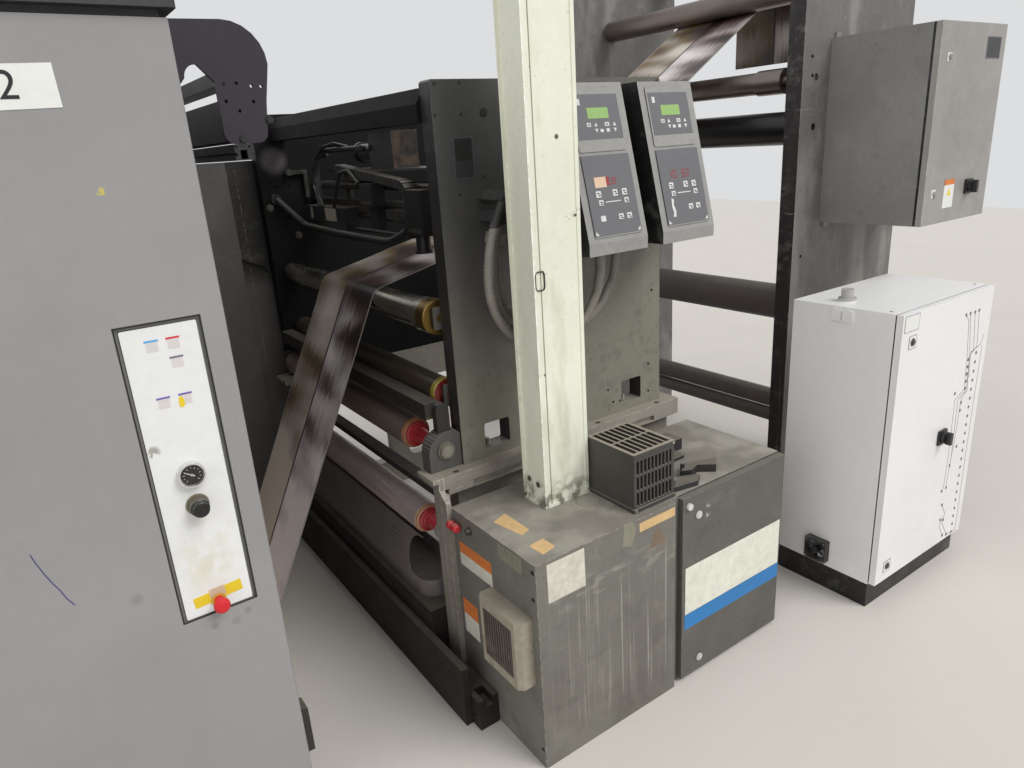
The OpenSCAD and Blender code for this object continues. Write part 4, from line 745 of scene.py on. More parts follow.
def stroke(points, width):
    """A drawn line as one rectangle for each of its spans."""
    spans = []
    for (u0, v0), (u1, v1) in zip(points, points[1:]):
        long = ((u1 - u0) ** 2 + (v1 - v0) ** 2) ** 0.5
        nu, nv = -(v1 - v0) / long * width / 2, (u1 - u0) / long * width / 2
        spans.append([(u0 - nu, v0 - nv), (u1 - nu, v1 - nv), (u1 + nu, v1 + nv), (u0 + nu, v0 + nv)])
    return spans


def rim(u0, v0, u1, v1, width):
    """The outline of a rectangle, drawn as a line."""
    return stroke([(u0, v0), (u1, v0), (u1, v1), (u0, v1), (u0, v0)], width)


print("a ring has", len(ring(0, 0, 1, 2)), "short pieces, a rim", len(rim(0, 0, 1, 1, 0.1)))

# %% [markdown]
# ## From outlines to pieces
#
# An outline becomes a solid sheet: one face above, one below and a wall round it, so that it also casts a small
# shadow. Every piece then rides a body of the press: it is parented to an empty named after that body.

# %% Sheets that ride on a body
PIECES = []


def keep(name, mesh, body, finish):
    """Makes an object of a mesh that is already in place, and lets it ride on a body."""
    mesh.materials.clear()
    mesh.materials.append(finish)
    piece = bpy.data.objects.new(name, mesh)
    bpy.context.scene.collection.objects.link(piece)
    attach(piece, body)
    PIECES.append(name)
    return piece


def sheets(name, body, finish, face, outlines, thick=0.5):
    """Thin flat sheets on a face, all in one mesh."""
    build = bmesh.new()
    for outline in outlines:
        low = [build.verts.new(face(u, v, -0.05)) for u, v in outline]
        high = [build.verts.new(face(u, v, thick)) for u, v in outline]
        build.faces.new(high)
        build.faces.new(low[::-1])
        for i in range(len(outline)):
            j = (i + 1) % len(outline)
            build.faces.new((low[i], low[j], high[j], high[i]))
    bmesh.ops.recalc_face_normals(build, faces=build.faces)
    mesh = bpy.data.meshes.new(name)
    build.to_mesh(mesh)
    build.free()
    return keep(name, mesh, body, finish)


def lay(face, body, *rows):
    """Several kinds of sheets on one face: each row has a name, a finish, a thickness and outlines."""
    for name, finish, thick, outlines in rows:
        sheets(name, body, finish, face, outlines, thick)


print("flat sheet tools ready")

# %% [markdown]
# ## Marks on the printing unit
#
# The unit carries a white plate. The panel's function fields are coloured bars with small bare
# labels below them, a strip of yellow tape crosses behind the stop button, and somebody's pen has
# left a line on the cover.

# %% Colours of labels
label_white = plain("label_white", (222, 221, 216), rough=0.45, seed=11)
ink_black = plain("ink_black", (26, 25, 26), rough=0.5, seed=12)
tape_yellow = plain("tape_yellow", (236, 196, 36), rough=0.4, clouds=0.5, seed=13)
bar_blue = plain("bar_blue", (86, 160, 214), rough=0.4, seed=14)
bar_red = plain("bar_red", (206, 52, 62), rough=0.4, seed=15)
bar_grey = plain("bar_grey", (112, 106, 118), rough=0.4, seed=16)
bar_purple = plain("bar_purple", (112, 92, 160), rough=0.4, seed=17)
field_white = plain("field_white", (208, 202, 200), seed=18)
label_worn = plain("label_worn", (196, 176, 150), clouds=1.2, grain=1.0, seed=19)
pen_violet = plain("pen_violet", (72, 66, 112), seed=20)
print("label colours ready")

# %% Unit plate and panel fields
UNIT_FRONT, PANEL_FRONT, STEP_FRONT = front(-270), front(-267), front(-263)
BARS = [(bar_blue, [(179, 1375)]), (bar_red, [(219, 1375)]), (bar_grey, [(219, 1335)]),
        (bar_purple, [(178, 1256), (220, 1256)])]
BAR_WIDE, BAR_HIGH = 26, 4
PEN_WAY = [(-97, 1009), (-93, 990), (-84, 959), (-76, 936), (-68, 918), (-61, 895), (-51, 875)]
TAPE_DAB = [(219, 1228), (224, 1226), (229, 1231), (229, 1242), (226, 1250), (220, 1249), (218, 1240)]

lay(UNIT_FRONT, "base", ("unit_plate", label_white, 1.2, [turned(rect(-20, 1805, 138, 1877), (60, 1840), 1.5)]))
for i, (finish, corners) in enumerate(BARS):
    bars = [rect(u, v - BAR_HIGH, u + BAR_WIDE, v) for u, v in corners]
    lay(PANEL_FRONT, "base", (f"panel_bar_{i}", finish, 0.5, bars))
fields = [rect(u + 2, v - 24, u + 24, v - 5) for _, corners in BARS for u, v in corners]
lay(PANEL_FRONT, "base", ("panel_fields", field_white, 0.35, fields))
lay(UNIT_FRONT, "base", ("panel_gap", ink_black, 0.4, rim(131, 741, 290, 1409, 3.0)))
lay(STEP_FRONT, "base", ("panel_line", ink_black, 0.6, rim(139, 744, 282, 1401, 1.4)))
lay(PANEL_FRONT, "base", ("panel_dab", tape_yellow, 0.7, [TAPE_DAB]),
    ("panel_tape", tape_yellow, 0.6, [rect(160, 766, 205, 792, 4), rect(222, 772, 264, 799, 4)]),
    ("button_label", label_worn, 0.8, [rect(194, 776, 228, 800, 3)]))
lay(UNIT_FRONT, "base", ("pen_line", pen_violet, 0.3, stroke(PEN_WAY, 2.2)))
print("marks on the unit", len(PIECES))

# %% [markdown]
# ## The plate's number
#
# The unit is known by a plain number. Blender sets it as a text curve; it is turned into a mesh
# first and only then moved to its place, point by point, so the finished object stays unmoved.

# %% The plate's number
def numeral(name, text, height, face, u, v, body, finish):
    """A plain number, set as a mesh on a face."""
    curve = bpy.data.curves.new(name, "FONT")
    curve.body, curve.size, curve.extrude = text, height, 0.35
    seed = bpy.data.objects.new(name + "_seed", curve)
    bpy.context.scene.collection.objects.link(seed)
    mesh = bpy.data.meshes.new_from_object(seed.evaluated_get(bpy.context.evaluated_depsgraph_get()))
    bpy.data.objects.remove(seed)
    for vertex in mesh.vertices:
        vertex.co = face(u + vertex.co.x, v + vertex.co.y, 1.5 + vertex.co.z)
    build = bmesh.new()
    build.from_mesh(mesh)
    bmesh.ops.remove_doubles(build, verts=build.verts, dist=1e-6)
    bmesh.ops.recalc_face_normals(build, faces=build.faces)
    build.to_mesh(mesh)
    build.free()
    return keep(name, mesh, body, finish)


number = numeral("unit_number", "2", 66, UNIT_FRONT, 48, 1822, "base", ink_black)
print("the number has", len(number.data.polygons), "faces")

# %% [markdown]
# ## Seam and clip of the riser
#
# A raised bead runs down the riser beside its corner, and halfway up a wire clip holds it. Two thin
# olive lines are the bead's shadows; the clip is a closed line with cut corners.

# %% Riser seam and clip
RISER_FRONT, RISER_FOOT, RISER_HEAD = front(-274), 672, 2488
CLIP = [(1138, 1318), (1160, 1318), (1164, 1326), (1164, 1360), (1160, 1368), (1138, 1368), (1134, 1360),
        (1134, 1326), (1138, 1318)]
seam_olive = plain("seam_olive", (132, 130, 104), rough=0.6, seed=42)
seam = [span for x, wide in ((1139, 2.4), (1153, 2.0))
        for span in stroke([(x, RISER_FOOT), (x, RISER_HEAD)], wide)]
lay(RISER_FRONT, "base", ("riser_clip", ink_black, 3.0, stroke(CLIP, 2.6)), ("riser_seam", seam_olive, 0.3, seam))
print("seam lines", len(seam))

# %% [markdown]
# ## Gauge dial
#
# A pressure gauge is a black dial with white ticks over three quarters of a turn and a white
# pointer. Ticks are one short rectangle turned round the centre, so the dial is drawn by a loop.

# %% Gauge dial
DIAL, DIAL_FRONT = (DIAL_X, DIAL_Z), front(-280)
TICKS, FIRST_TICK, TICK_STEP, TICK_REACH, POINTER = 11, 225, 27, 18, 148
dial_black = plain("dial_black", (34, 33, 33), rough=0.3, seed=21)
dial_white = plain("dial_white", (226, 224, 214), rough=0.4, seed=22)

ticks = []
for i in range(TICKS):
    u0, u1 = DIAL_X + TICK_REACH - (2.2 if i % 2 else 4.0), DIAL_X + TICK_REACH
    ticks.append(turned(rect(u0, DIAL_Z - 0.35, u1, DIAL_Z + 0.35), DIAL, FIRST_TICK - i * TICK_STEP))
pointer = [(DIAL_X - 6, DIAL_Z - 1.2), (DIAL_X + 17, DIAL_Z - 0.3), (DIAL_X + 17, DIAL_Z + 0.3),
           (DIAL_X - 6, DIAL_Z + 1.2)]
lay(DIAL_FRONT, "base", ("gauge_face", dial_black, 0.4, [disc(*DIAL, 22.6, 40)]),
    ("gauge_marks", dial_white, 0.9, ticks + [turned(pointer, DIAL, POINTER), disc(*DIAL, 2.6)]))
print("dial ticks", len(ticks))

# %% [markdown]
# ## Labels and tapes on the floor cabinet
#
# The places of signs stay bare: an off-white paper, a pale field with a blue band on the door,
# orange and white plates on the side, pieces of tape and a worn triangle. They sit exactly where
# the real ones do, and their material is as carefully worn as the paint round them.

# %% Floor cabinet signs
paper = plain("paper_worn", (206, 202, 186), rough=0.7, clouds=0.9, grain=0.8, seed=23)
tape_beige = plain("tape_beige", (206, 172, 122), rough=0.6, clouds=0.8, grain=0.6, seed=24)
field_blue = plain("field_blue", (30, 116, 178), rough=0.4, clouds=0.5, seed=25)
field_cream = plain("field_cream", (216, 214, 200), rough=0.45, clouds=0.7, grain=0.5, seed=26)
plate_orange = plain("plate_orange", (206, 116, 52), rough=0.5, clouds=1.0, grain=0.8, seed=27)
plate_olive = plain("plate_olive", (128, 126, 108), rough=0.6, clouds=1.0, grain=0.8, seed=28)
mark_brown = plain("mark_brown", (118, 100, 82), rough=0.6, clouds=1.0, grain=0.9, seed=29)
ring_pale = plain("ring_pale", (132, 126, 116), seed=30)

CABINET_FRONT, CABINET_SIDE, CABINET_TOP = front(-497), left(921), top(666)
lay(CABINET_FRONT, "base",
    ("cabinet_paper", paper, 0.5, [rect(958, 537, 1086, 655, 0.6)]),
    ("cabinet_tape", tape_beige, 0.5, [rect(1292, 624, 1436, 652, 0.8)]),
    ("cabinet_mark", mark_brown, 0.5, [[(1362, 618), (1330, 552), (1402, 554)]]),
    ("cabinet_patch", plate_olive, 0.3, [[(1226, 602), (1262, 590), (1278, 640), (1268, 664), (1232, 662)]]))
lay(CABINET_FRONT, "floor_door",
    ("door_field", field_cream, 0.5, [rect(1486, 250, 1953, 420)]),
    ("door_band", field_blue, 0.5, [rect(1484, 195, 1955, 251)]))
lay(CABINET_SIDE, "base",
    ("side_orange", plate_orange, 0.5, [rect(-280, 531, -105, 568, -1), rect(-178, 308, -95, 362)]),
    ("side_white", field_cream, 0.5, [rect(-280, 489, -105, 531, -1), rect(-178, 238, -95, 308)]),
    ("side_olive", plate_olive, 0.5, [rect(-435, 609, -323, 659)]))
lay(CABINET_TOP, "base",
    ("top_tapes", tape_beige, 0.4, [[(968, -407), (1021, -400), (1021, -455), (972, -465)],
                                    [(968, -235), (1021, -214), (1021, -337), (987, -349)]]),
    ("top_ring", ring_pale, 0.8, ring(1256, -315, 35, 38)))
print("with the floor cabinet", len(PIECES))

# %% [markdown]
# ## Keys and displays of the consoles
#
# Each console has a small panel with a green display and a larger one below with figures and keys.
# The layout is a table of fields in the plate's own fractions, so both consoles share it. A key is
# a pale square with two dark dabs where its sign would be.

# %% Keypad tools
CONSOLES = (1331.0, 1622.0)
UPPER, LOWER = (31.0, 286.0, 197.0, 410.0), (24.0, 18.0, 203.0, 242.0)
RAISED = 3.0
SEGMENTS = {"0": "abcdef", "1": "bc", "2": "abged", "8": "abcdefg"}


def field(plate, u0, v0, u1, v1):
    """A field of a keypad plate; fractions run from its left edge and from its top edge down."""
    wide, high = plate[2] - plate[0], plate[3] - plate[1]
    return rect(plate[0] + u0 * wide, plate[3] - v1 * high, plate[0] + u1 * wide, plate[3] - v0 * high)


def arrow(plate, u, v, way):
    """A small arrow key, way 1 pointing up and -1 pointing down."""
    x0, y0, x1, y1 = plate
    cu, cv = x0 + u * (x1 - x0), y1 - v * (y1 - y0)
    return [(cu - 6, cv - 5 * way), (cu + 6, cv - 5 * way), (cu, cv + 6 * way)][::way]


def figures(text, u, v, wide, high):
    """Seven-segment figures as small bars: a plain number, read from its top left corner."""
    bars = []
    for i, sign in enumerate(text):
        x0, z1, z0, t = u + i * wide * 1.45, v, v - high, wide * 0.16
        x1, mid = x0 + wide, (z0 + z1) / 2
        shapes = {"a": (x0, z1 - t, x1, z1), "g": (x0, mid - t / 2, x1, mid + t / 2), "d": (x0, z0, x1, z0 + t),
                  "f": (x0, mid, x0 + t, z1), "b": (x1 - t, mid, x1, z1),
                  "e": (x0, z0, x0 + t, mid), "c": (x1 - t, z0, x1, mid)}
        bars += [rect(*shapes[part]) for part in SEGMENTS.get(sign, "")]
    return bars


def raised(x):
    """A console's front at the height of its keypad plates."""
    return lambda u, v, out: slope(x)(u, v, out + RAISED)


print("bars in an 8:", len(figures("8", 0, 0, 1, 2)))

# %% Console keypads
key_pale = plain("key_pale", (204, 202, 198), rough=0.5, clouds=0.7, grain=0.6, seed=31)
key_plate = enamel("key_plate", (100, 99, 102), clouds=0.4, grain=0.2, rough=0.4, dust=0.1, chips=0.3,
                   smudges=0.1, seed=36)
screen_green = plain("screen_green", (140, 170, 104), rough=0.3, glow=(104, 160, 60), strength=0.10, seed=32)
figure_red = plain("figure_red", (120, 44, 46), rough=0.3, glow=(170, 30, 34), strength=0.35, seed=33)
window_lit = plain("window_lit", (206, 176, 150), rough=0.3, glow=(200, 160, 130), strength=0.1, seed=34)

KEYS = [field(UPPER, u, v, u + wide, v + high) for u, v, wide, high in (
    (0.22, 0.63, 0.09, 0.09), (0.62, 0.63, 0.10, 0.09), (0.50, 0.78, 0.07, 0.07), (0.64, 0.77, 0.07, 0.08),
    (0.08, 0.10, 0.07, 0.14))]
KEYS += [arrow(UPPER, u, v, way) for v, way in ((0.675, 1), (0.81, -1)) for u in (0.42, 0.84)]
KEYS += [field(LOWER, u, 0.44, u + 0.10, 0.52) for u in (0.17, 0.52, 0.72)]
KEYS += [field(LOWER, u, 0.555, u + 0.09, 0.62) for u in (0.20, 0.74)]
KEYS += [field(LOWER, u, 0.75, u + 0.10, 0.82) for u in (0.56, 0.74)]
KEYS += [field(LOWER, 0.34, 0.58, 0.66, 0.592)]
SPARE_KEY = field(LOWER, 0.18, 0.75, 0.28, 0.82)
CORNERS = [[(28, 21), (40, 21), (28, 32)], [(199, 21), (187, 21), (199, 32)]]
DABS = [(LOWER, u + a, v) for u in (0.19, 0.54, 0.74) for a, v in ((0.0, 0.462), (0.02, 0.488))]
DABS += [(LOWER, u + a, v) for u in (0.22, 0.76) for a, v in ((0.0, 0.575), (0.01, 0.597))]
DABS += [(LOWER, u + a, v) for u in (0.58, 0.76) for a, v in ((0.0, 0.772), (0.02, 0.796))]
DABS += [(UPPER, u, v) for u in (0.24, 0.645) for v in (0.652, 0.682)]
for i, x in enumerate(CONSOLES):
    lay(slope(x), "base", (f"console_plates_{i}", key_plate, RAISED + 0.8, [rect(*UPPER), rect(*LOWER)]))
    lay(raised(x), "base",
        (f"console_keys_{i}", key_pale, 1.3, KEYS + ([SPARE_KEY] if i == 0 else []) + CORNERS),
        (f"console_marks_{i}", ink_black, 1.5, [field(plate, u, v, u + 0.05, v + 0.014) for plate, u, v in DABS]),
        (f"console_screen_{i}", screen_green, 1.3, [field(UPPER, 0.27, 0.30, 0.74, 0.54)]))
print("keys on a console", len(KEYS))

# %% [markdown]
# ## Lit figures
#
# The first console has a lit window beside its figures, the second two groups of red figures. They
# glow a little, as such displays do in daylight.

# %% Console figures
WEAR = [(52, 42), (62, 40), (66, 58), (60, 78), (64, 92), (55, 98), (52, 70), (56, 55)]
lay(raised(CONSOLES[0]), "base", ("console_window", window_lit, 1.3, [field(LOWER, 0.18, 0.27, 0.42, 0.40)]),
    ("console_glow", figure_red, 1.3, [field(LOWER, 0.43, 0.27, 0.47, 0.38)] + figures("08", 110, 178, 11, 20)))
lay(raised(CONSOLES[1]), "base", ("console_figures", figure_red, 1.3, figures("10 82", 60, 180, 13, 24)),
    ("console_wear", key_pale, 0.95, [WEAR]))
print("console pieces, now", len(PIECES))

# %% [markdown]
# ## Locks and labels on the doors
#
# Both control cabinets have square lock plates with a round key hole, and bare labels. They are parented to
# empties named after the doors.

# %% White cabinet's door
WHITE_FRONT, WALL_FRONT, PLATE_FRONT = front(-675), front(-420), front(0)
LOCK_X, LOCK_SIDE, LOCK_FEET = 2333, 44, (976, 133)
locks = [(LOCK_X, v, LOCK_X + LOCK_SIDE, v + LOCK_SIDE) for v in LOCK_FEET]
lock_rims = [span for lock in locks for span in rim(*lock, 1.4)]
lock_rims += [piece for v in LOCK_FEET for piece in ring(LOCK_X + LOCK_SIDE / 2, v + LOCK_SIDE / 2, 12, 14)]
lay(WHITE_FRONT, "white_door", ("white_label", label_white, 0.8, [rect(2296, 1038, 2384, 1092)]),
    ("white_lock_plates", label_white, 1.0, [rect(*lock) for lock in locks]),
    ("white_lock_rims", bar_grey, 1.3, lock_rims),
    ("white_label_rim", bar_grey, 1.0, rim(2296, 1038, 2384, 1092, 1.6)))
print("locks", len(locks))

# %% Wall cabinet's door and the stand's badge
bolt_dark = plain("bolt_dark", (34, 32, 31), rough=0.5, seed=37)
badge_grey = plain("badge_grey", (66, 66, 68), rough=0.35, metallic=0.4, seed=40)
badge_rim = plain("badge_rim", (112, 112, 114), rough=0.35, metallic=0.5, seed=41)
lay(WALL_FRONT, "wall_door", ("wall_label", label_white, 0.8, [rect(2984, 1354, 3060, 1460)]),
    ("wall_label_band", plate_orange, 1.1, [rect(2984, 1440, 3060, 1460)]),
    ("wall_label_mark", tape_yellow, 1.1, [[(3008, 1400), (3038, 1400), (3023, 1428)]]),
    ("wall_locks", field_cream, 1.4, [rect(2894, 1875, 2924, 1905), rect(2890, 1400, 2920, 1430)]),
    ("wall_lock_rings", bar_grey, 1.8, ring(2909, 1890, 6, 9) + ring(2905, 1415, 6, 9)),
    ("wall_badge", dial_black, 1.0, [rect(3182, 1888, 3288, 1962)]),
    ("wall_badge_rim", bar_grey, 1.3, rim(3182, 1888, 3288, 1962, 3)))
lay(PLATE_FRONT, "base", ("plate_badge", badge_grey, 1.6, [rect(1078, 1612, 1141, 1722)]),
    ("plate_badge_field", bolt_dark, 1.9, [rect(1084, 1660, 1135, 1716)]),
    ("plate_badge_rim", badge_rim, 2.2, rim(1078, 1612, 1141, 1722, 2.0)))
print("cabinet signs, now", len(PIECES))

# %% [markdown]
# ## Mimic diagram of the white cabinet
#
# A mimic diagram shows the line as dots joined by thin strokes. The strokes are thin sheets here;
# the dots are real discs that the next tree sets on the same list of points.

# %% Mimic lines
MIMIC = [(2712, 1023), (2743, 1023), (2778, 1022), (2808, 1023), (2775, 845), (2778, 817), (2779, 789),
         (2782, 760), (2782, 732), (2707, 730), (2767, 680), (2767, 649), (2780, 499), (2745, 431),
         (2741, 339), (2709, 334), (2728, 269), (2755, 194), (2731, 203), (2765, 121), (2798, 113)]
MIMIC += [(2832 + i * 0.35, 859 - 35.7 * i) for i in range(22)]
LINES = [[(2712, 1023), (2738, 997), (2763, 861), (2776, 727), (2714, 705), (2724, 474), (2719, 339)],
         [(2743, 1023), (2783, 857), (2794, 720), (2737, 699), (2749, 467), (2738, 350)],
         [(2778, 1022), (2807, 876), (2780, 859), (2802, 720), (2763, 695), (2757, 524), (2745, 431)],
         [(2808, 1023), (2830, 884), (2788, 862), (2800, 770)], [(2873, 921), (2860, 887), (2792, 871)],
         [(2872, 880), (2870, 693), (2868, 427), (2872, 126), (2861, 105), (2798, 113)],
         [(2728, 269), (2763, 218), (2741, 194), (2798, 113)], [(2731, 203), (2735, 165), (2765, 121)]]
mimic_grey = plain("mimic_grey", (96, 93, 94), rough=0.5, seed=39)
strokes = [span for line in LINES for span in stroke(line, 2.2)]
lay(WHITE_FRONT, "white_door", ("mimic_lines", mimic_grey, 0.3, strokes))
print("mimic dots", len(MIMIC), "strokes", len(strokes))

# %% [markdown]
# ## Bolts, rivets and dots by Geometry Nodes
#
# A bolt head is a short six-sided prism on a washer; a rivet or a dot is the same with more sides.
# One tree makes them all: it puts a head on every point of a mesh, turned to the face, and its
# inputs give radius, height, sides and washer. It runs once, and the plain mesh is kept.

# %% Building a tree
def new_tree(name, inputs):
    """A Geometry Nodes tree with named inputs; the first and last sockets carry the geometry."""
    tree = bpy.data.node_groups.new(name, "GeometryNodeTree")
    tree.interface.new_socket("Geometry", in_out="INPUT", socket_type="NodeSocketGeometry")
    for label, kind in inputs:
        tree.interface.new_socket(label, in_out="INPUT", socket_type="NodeSocket" + kind)
    tree.interface.new_socket("Geometry", in_out="OUTPUT", socket_type="NodeSocketGeometry")
    entry = tree.nodes.new("NodeGroupInput")
    return tree, {socket.name: Wire(tree, socket) for socket in entry.outputs if socket.name}


def finish_tree(tree, geometry, given):
    """Ends a tree: instances are made real and the material is set."""
    real = put(tree, "GeometryNodeRealizeInstances", Geometry=geometry)
    done = put(tree, "GeometryNodeSetMaterial", Geometry=real, Material=given["Material"])
    exit_node = tree.nodes.new("NodeGroupOutput")
    tree.links.new(done.socket, exit_node.inputs[0])


def grow(name, source, tree, values, body):
    """Runs a tree on a mesh once and keeps the plain mesh that comes out."""
    seed = bpy.data.objects.new(name + "_seed", source)
    bpy.context.scene.collection.objects.link(seed)
    modifier = seed.modifiers.new("grow", "NODES")
    modifier.node_group = tree
    for item in tree.interface.items_tree:
        if item.item_type == "SOCKET" and item.in_out == "INPUT" and item.name in values:
            modifier[item.identifier] = values[item.name]
    depsgraph = bpy.context.evaluated_depsgraph_get()
    mesh = bpy.data.meshes.new_from_object(seed.evaluated_get(depsgraph), depsgraph=depsgraph)
    bpy.data.objects.remove(seed)
    return keep(name, mesh, body, values["Material"])


def points_mesh(name, points, joined=False):
    """Drawn points as a mesh, loose or joined to a line."""
    mesh = bpy.data.meshes.new(name)
    mesh.from_pydata([at(*p) for p in points], [(i, i + 1) for i in range(len(points) - 1)] if joined else [], [])
    return mesh


print("tree tools ready")


# %% The head tree
heads, given = new_tree("heads", [("Radius", "Float"), ("Height", "Float"), ("Sides", "Int"), ("Washer", "Float"),
                                  ("Turn", "Vector"), ("Material", "Material")])
head = put(heads, "GeometryNodeMeshCylinder", Vertices=given["Sides"], Radius=given["Radius"],
           Depth=given["Height"])
lift = put(heads, "ShaderNodeCombineXYZ", Z=given["Height"] * 0.5)
head = put(heads, "GeometryNodeTransform", Geometry=head, Translation=lift)
washer = put(heads, "GeometryNodeMeshCylinder", Vertices=20, Radius=given["Radius"] * given["Washer"],
             Depth=given["Height"] * 0.3)
washer_lift = put(heads, "ShaderNodeCombineXYZ", Z=given["Height"] * 0.14)
washer = put(heads, "GeometryNodeTransform", Geometry=washer, Translation=washer_lift)
both = put(heads, "GeometryNodeJoinGeometry")
for part in (head, washer):
    join(heads, both.socket.node.inputs[0], part)
laid = put(heads, "GeometryNodeInstanceOnPoints", Points=given["Geometry"], Instance=both, Rotation=given["Turn"])
finish_tree(heads, laid, given)
print("head tree nodes", len(heads.nodes))

# %% [markdown]
# ## Where the heads sit
#
# One table holds them all: a name, the body they ride, their finish, the way they look, sides,
# radius and height in millimetres, the washer's share, and their places.

# %% Bolts, rivets and dots
TO_FRONT, TO_LEFT, TO_TOP = (pi / 2, 0.0, 0.0), (0.0, -pi / 2, 0.0), (0.0, 0.0, 0.0)
bolt_steel = plain("bolt_steel", (112, 107, 98), rough=0.4, metallic=0.8, clouds=0.9, grain=0.6, seed=35)
bolt_pale = plain("bolt_pale", (170, 166, 156), rough=0.32, metallic=0.8, clouds=0.6, seed=36)
HEADS = [
    ("stand_plugs", "base", bolt_dark, TO_FRONT, 14, 5, 0.6, 1.0,
     [(1035, 0, 1861), (1029, 0, 1782), (1870, 0, 1861)]),
    ("plate_plugs", "base", bolt_dark, TO_FRONT, 16, 4.5, 0.6, 1.0,
     [(1172, 0, 1612), (1087, 0, 1568), (1112, 0, 1782), (1114, 0, 1862), (1629, 0, 848), (1685, 0, 793)]),
    ("plate_bore", "base", bolt_dark, TO_FRONT, 20, 11, 0.6, 1.2, [(1186, 0, 1784)]),
    ("window_bolts", "base", bolt_pale, TO_TOP, 6, 9, 26, 1.5, [(1124, 22, 781), (1716, 22, 781)]),
    ("rail_bolts", "base", bolt_steel, TO_TOP, 6, 8, 8, 1.3, [(976 + 290 * i, -21, 741) for i in range(4)]),
    ("boss_centre", "base", bolt_pale, TO_FRONT, 18, 7, 2, 2.2, [(966, -6, 815)]),
    ("side_button", "base", bolt_steel, TO_LEFT, 18, 10, 14, 1.25, [(921, -176, 630)]),
    ("side_screws", "base", bolt_dark, TO_LEFT, 12, 5, 2, 1.3,
     [(921, -484, 640), (921, -480, 556), (921, -484, 60)]),
    ("riser_rivets", "base", bolt_steel, TO_LEFT, 16, 6, 3, 1.5, [(1130, -197, 739), (1130, -240, 733)]),
    ("arm_bolt", "base", bolt_dark, TO_FRONT, 6, 8, 6, 1.3, [(530, 58, 1748), (600, 58, 1790)]),
    ("drive_bolts", "base", bolt_steel, TO_FRONT, 6, 11, 9, 1.4, [(1071, 1378, 1373), (965, 1378, 1500)]),
    ("console_screws", "base", bolt_pale, TO_FRONT, 12, 4, 2, 1.0,
     [(x + u, -166, 1830) for x in CONSOLES for u in (60, 166)]),
    ("fan_screws", "base", bolt_pale, TO_LEFT, 12, 3, 1.5, 1.0,
     [(2250, -452 + a, 160 + b) for a in (-37, 37) for b in (-37, 37)]),
    ("vent_screws", "base", bolt_pale, TO_FRONT, 12, 4, 2, 1.2, [(1308, -469, 672), (1458, -469, 843)]),
    ("mimic_dots", "white_door", mimic_grey, TO_FRONT, 14, 6.5, 0.5, 1.0, [(u, -675, v) for u, v in MIMIC]),
    ("white_screws", "base", bolt_pale, TO_TOP, 12, 5, 2, 1.0, [(2310, -620, 1100), (2875, -620, 1100)]),
]
for name, body, finish, turn, sides, radius, height, wash, places in HEADS:
    values = {"Radius": radius / 1000, "Height": height / 1000, "Sides": sides, "Washer": wash, "Turn": turn,
              "Material": finish}
    grow(name, points_mesh(name, places), heads, values, body)
print("heads on points:", sum(len(row[8]) for row in HEADS))

# %% [markdown]
# ## Corrugated conduit
#
# Corrugated conduit is a tube whose wall swells and shrinks every few millimetres. The tree follows
# the route, steps along it four times for each wave, and sweeps a circle whose size follows a sine
# of the length walked. It lies as a sleeve over the drawing's plain tube.

# %% The sleeve tree
sleeve, given = new_tree("sleeve", [("Radius", "Float"), ("Depth", "Float"), ("Pitch", "Float"),
                                    ("Material", "Material")])
route = put(sleeve, "GeometryNodeMeshToCurve", Mesh=given["Geometry"])
route = put(sleeve, "GeometryNodeResampleCurve", {"mode": "LENGTH"}, Curve=route, Length=given["Pitch"] * 0.25)
walked = put(sleeve, "GeometryNodeSplineParameter", out="Length")
swell = 1.0 + given["Depth"] * (walked * (2 * pi) / given["Pitch"]).wave()
circle = put(sleeve, "GeometryNodeCurvePrimitiveCircle", Resolution=14, Radius=given["Radius"])
swept = put(sleeve, "GeometryNodeCurveToMesh", Curve=route, Profile_Curve=circle, Scale=swell, Fill_Caps=True)
smooth = put(sleeve, "GeometryNodeSetShadeSmooth", Geometry=swept, Shade_Smooth=True)
finish_tree(sleeve, smooth, given)


def sleeve_on(name, way, radius, depth, pitch, finish):
    """A sleeve over a drawn way; sizes in millimetres, depth as a share of the radius."""
    return grow(name, points_mesh("route", way, True), sleeve,
                {"Radius": radius / 1000, "Depth": depth, "Pitch": pitch / 1000, "Material": finish}, "base")


print("sleeve tree nodes", len(sleeve.nodes))

# %% Conduit sleeves
CONDUITS = [(1505, -112, 1090, 33), (1541, -80, 1125, 24), (1636, -46, 1160, 15)]
CONDUIT_LOW, CONSOLE_FOOT, BOW_FROM, BOW_RADIUS = 1110, 1380, 1320, 420


def conduit_route(x_right, y, x_left, degrees):
    """The way of one conduit: down from the console, round, and up in a bow to its gland."""
    r, mid = (x_right - x_left) / 2, (x_right + x_left) / 2
    points = [(x_right, y, z) for z in range(CONSOLE_FOOT, int(CONDUIT_LOW + r), -30)]
    points += [(mid + r * cos(radians(a)), y, CONDUIT_LOW + r - r * sin(radians(a))) for a in range(0, 181, 6)]
    points += [(x_left, y, z) for z in range(int(CONDUIT_LOW + r) + 20, BOW_FROM, 30)]
    return points + [(x_left + BOW_RADIUS * (1 - cos(radians(a))), y, BOW_FROM + BOW_RADIUS * sin(radians(a)))
                     for a in range(0, degrees + 1, 3)]


for i, way in enumerate(CONDUITS):
    sleeve_on(f"conduit_sleeve_{i}", conduit_route(*way), 13.2, 0.06, 8, conduit_grey)
print("conduit sleeves", len(CONDUITS))

# %% [markdown]
# ## Hose and leads of the cameras
#
# The same tree, with another radius, sleeves the hose between the plates. With a depth of nothing
# it makes a smooth round lead, and three thin leads hang at the camera heads.

